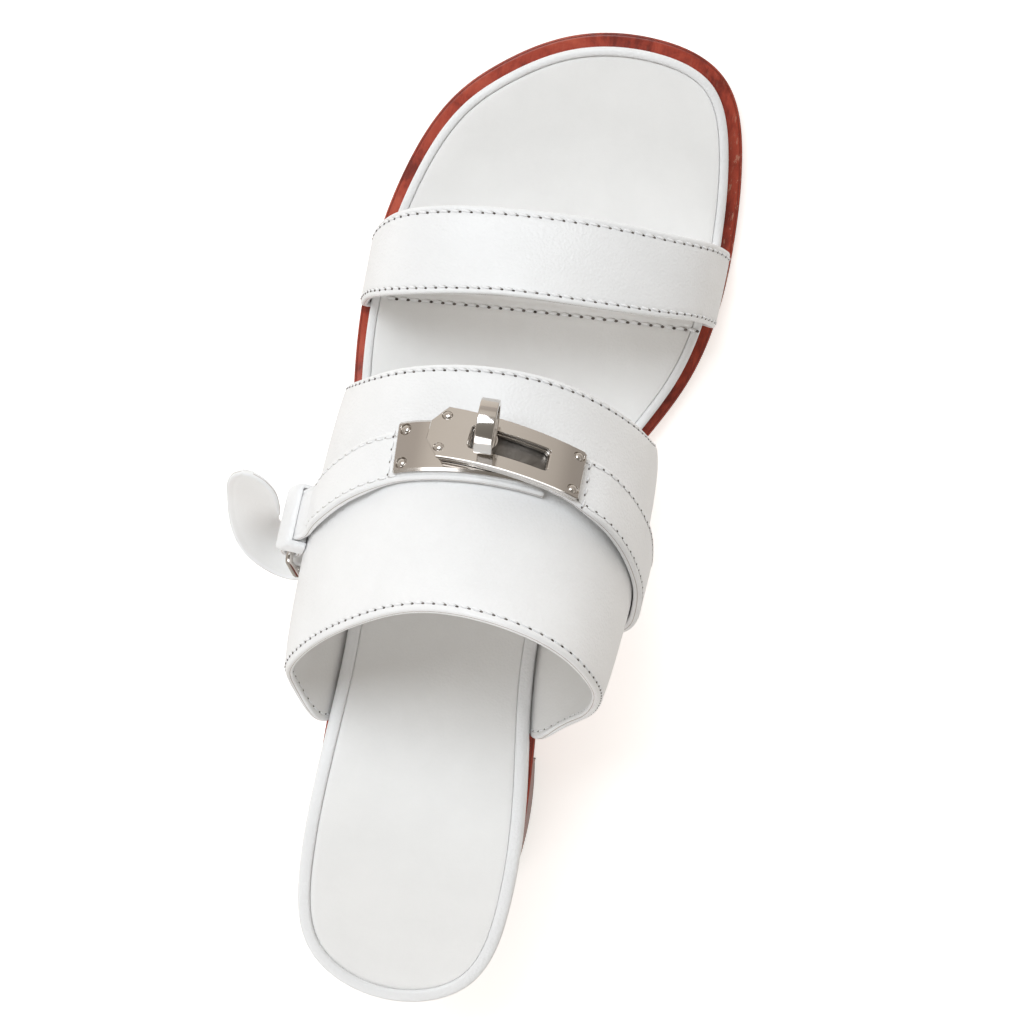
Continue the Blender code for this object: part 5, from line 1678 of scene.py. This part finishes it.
# %% The sock's seam
seam_across = np.linspace(-35.0, 39.0, 60)
seam_flat = np.column_stack([seam_across, lap_edge(seam_across) - SEAM_BACK])
sock_line = (np.column_stack([seam_flat, sock_top(seam_flat) + 0.12]), np.tile([0.0, 0.0, 1.0], (60, 1)))
sewn("sock_stitches", [sock_line], Pitch=0.00285, Width=0.0008, Length=0.0021, Slant=-0.05)

# %% [markdown]
# ## Rivets with Geometry Nodes
# Six small domed rivets hold the plates. They are one shape repeated, so they come from a tree
# as well: a point for each rivet with its own outward direction, and one turned head.

# %% Rivets


def rivet_tree():
    inputs = {"Places": "Geometry", "Radius": 0.00104, "Flatness": 0.56, "Metal": "Material"}
    tree, given, end = new_tree("rivets", "GeometryNodeTree", inputs, {"Rivets": "Geometry"})
    ball = result(tree, "GeometryNodeMeshUVSphere", Segments=32, Rings=16, Radius=1.0)
    height = maths(tree, "MULTIPLY", given["Radius"], given["Flatness"])
    sizes = result(tree, "ShaderNodeCombineXYZ", given["Radius"], given["Radius"], height)
    head = result(tree, "GeometryNodeTransform", Geometry=ball, Scale=sizes)
    upright = result(tree, "FunctionNodeAlignRotationToVector", axis="Z", Vector=outward_direction(tree))
    heads = repeated(tree, given["Places"], head, upright)
    fill(end, Rivets=coated(tree, heads, given["Metal"]))
    return tree


RIVET_SINK = 0.22
stands = [standing(line, d, side * w, top - RIVET_SINK) for line, d, w, top in RIVETS for side in (-1.0, 1.0)]
places = [tuple(stand.translation) for stand in stands]
upwards = [stand.col[2].xyz for stand in stands]
rivet_nodes = [f"rivet_{n}" for n in range(1, 7)]
grown("domed_rivets", rivet_tree(), {"Metal": NICKEL}, places, [], upwards, rivet_nodes)

# %% [markdown]
# ## The studio
# White leather on a pale floor needs light that tells the two apart. A large soft light above
# the toes gives the straps their gradient, a faint one fills the medial side, and one behind the
# heel draws the far rims. The warm surroundings are what the nickel mirrors. The floor glows a
# little, and is kept out of those mirrors, where its far edge would be a hard line.

# %% Floor, lights and surroundings
FLOOR_HALF = 3.0
floor_mesh = bpy.data.meshes.new("floor")
corners = [(-1, -1), (1, -1), (1, 1), (-1, 1)]
floor_mesh.from_pydata([(x * FLOOR_HALF, y * FLOOR_HALF, 0.0) for x, y in corners], [], [(0, 1, 2, 3)])
floor_material, tree, shader = new_material("pale floor", "floor", (0.8, 0.8, 0.8), 0.7)
fill(shader, Emission_Color=(1.0, 0.97, 0.93), Emission_Strength=0.6)
floor_mesh.materials.append(floor_material)
floor = linked("floor", floor_mesh)
floor.visible_glossy = False

AIM_OF_LAMPS = Vector((0.0, 0.0, 0.04))
SOFTBOXES = [
    # name, place, width, height, watts, colour
    ("key", (0.45, -0.75, 1.25), 0.9, 0.7, 13.8, (0.895, 0.95, 1.0)),
    ("fill", (-1.1, 0.2, 0.9), 1.0, 1.0, 0.9, (1.0, 0.95, 0.89)),
    ("back", (0.25, 1.1, 0.8), 1.1, 0.8, 6.2, (0.975, 0.985, 1.0)),
]
for name, where, width, height, watts, colour in SOFTBOXES:
    light = bpy.data.lights.new(name, "AREA")
    fill(light, shape="RECTANGLE", size=width, size_y=height, energy=watts, color=colour)
    turned = (AIM_OF_LAMPS - Vector(where)).to_track_quat("-Z", "Y").to_euler()
    fill(linked(name, light), location=where, rotation_euler=turned)

SKY = [
    # from straight down to straight up, colour
    (0.0, (0.8, 0.76, 0.70)),
    (0.42, (0.7, 0.64, 0.57)),
    (0.47, (0.52, 0.475, 0.435)),
    (0.61, (0.49, 0.445, 0.40)),
    (0.67, (0.66, 0.61, 0.55)),
    (0.79, (0.66, 0.615, 0.56)),
    (0.85, (0.35, 0.32, 0.285)),
    (1.0, (0.3, 0.28, 0.25)),
]
world = bpy.data.worlds.new("surroundings")
world.use_nodes = True
tree = world.node_tree
look = node(tree, "ShaderNodeSeparateXYZ", node(tree, "ShaderNodeTexCoord").outputs["Generated"]).outputs
toe_side = remapped(tree, look["Y"], From_Min=-0.7, From_Max=0.7, To_Min=1.3, To_Max=0.8)
medial_side = remapped(tree, look["X"], From_Min=-0.8, From_Max=0.3, To_Min=0.66, To_Max=1.0)
both_sides = maths(tree, "MULTIPLY", toe_side, medial_side)
sky = ramp(remapped(tree, look["Z"], From_Min=-1.0, From_Max=1.0), SKY)
sky = result(tree, "ShaderNodeVectorMath", sky, operation="SCALE", Scale=both_sides)
fill(tree.nodes["Background"], Color=sky, Strength=0.92)
bpy.context.scene.world = world
bpy.context.scene.view_settings.view_transform = "Standard"
print("studio:", [s[0] for s in SOFTBOXES])
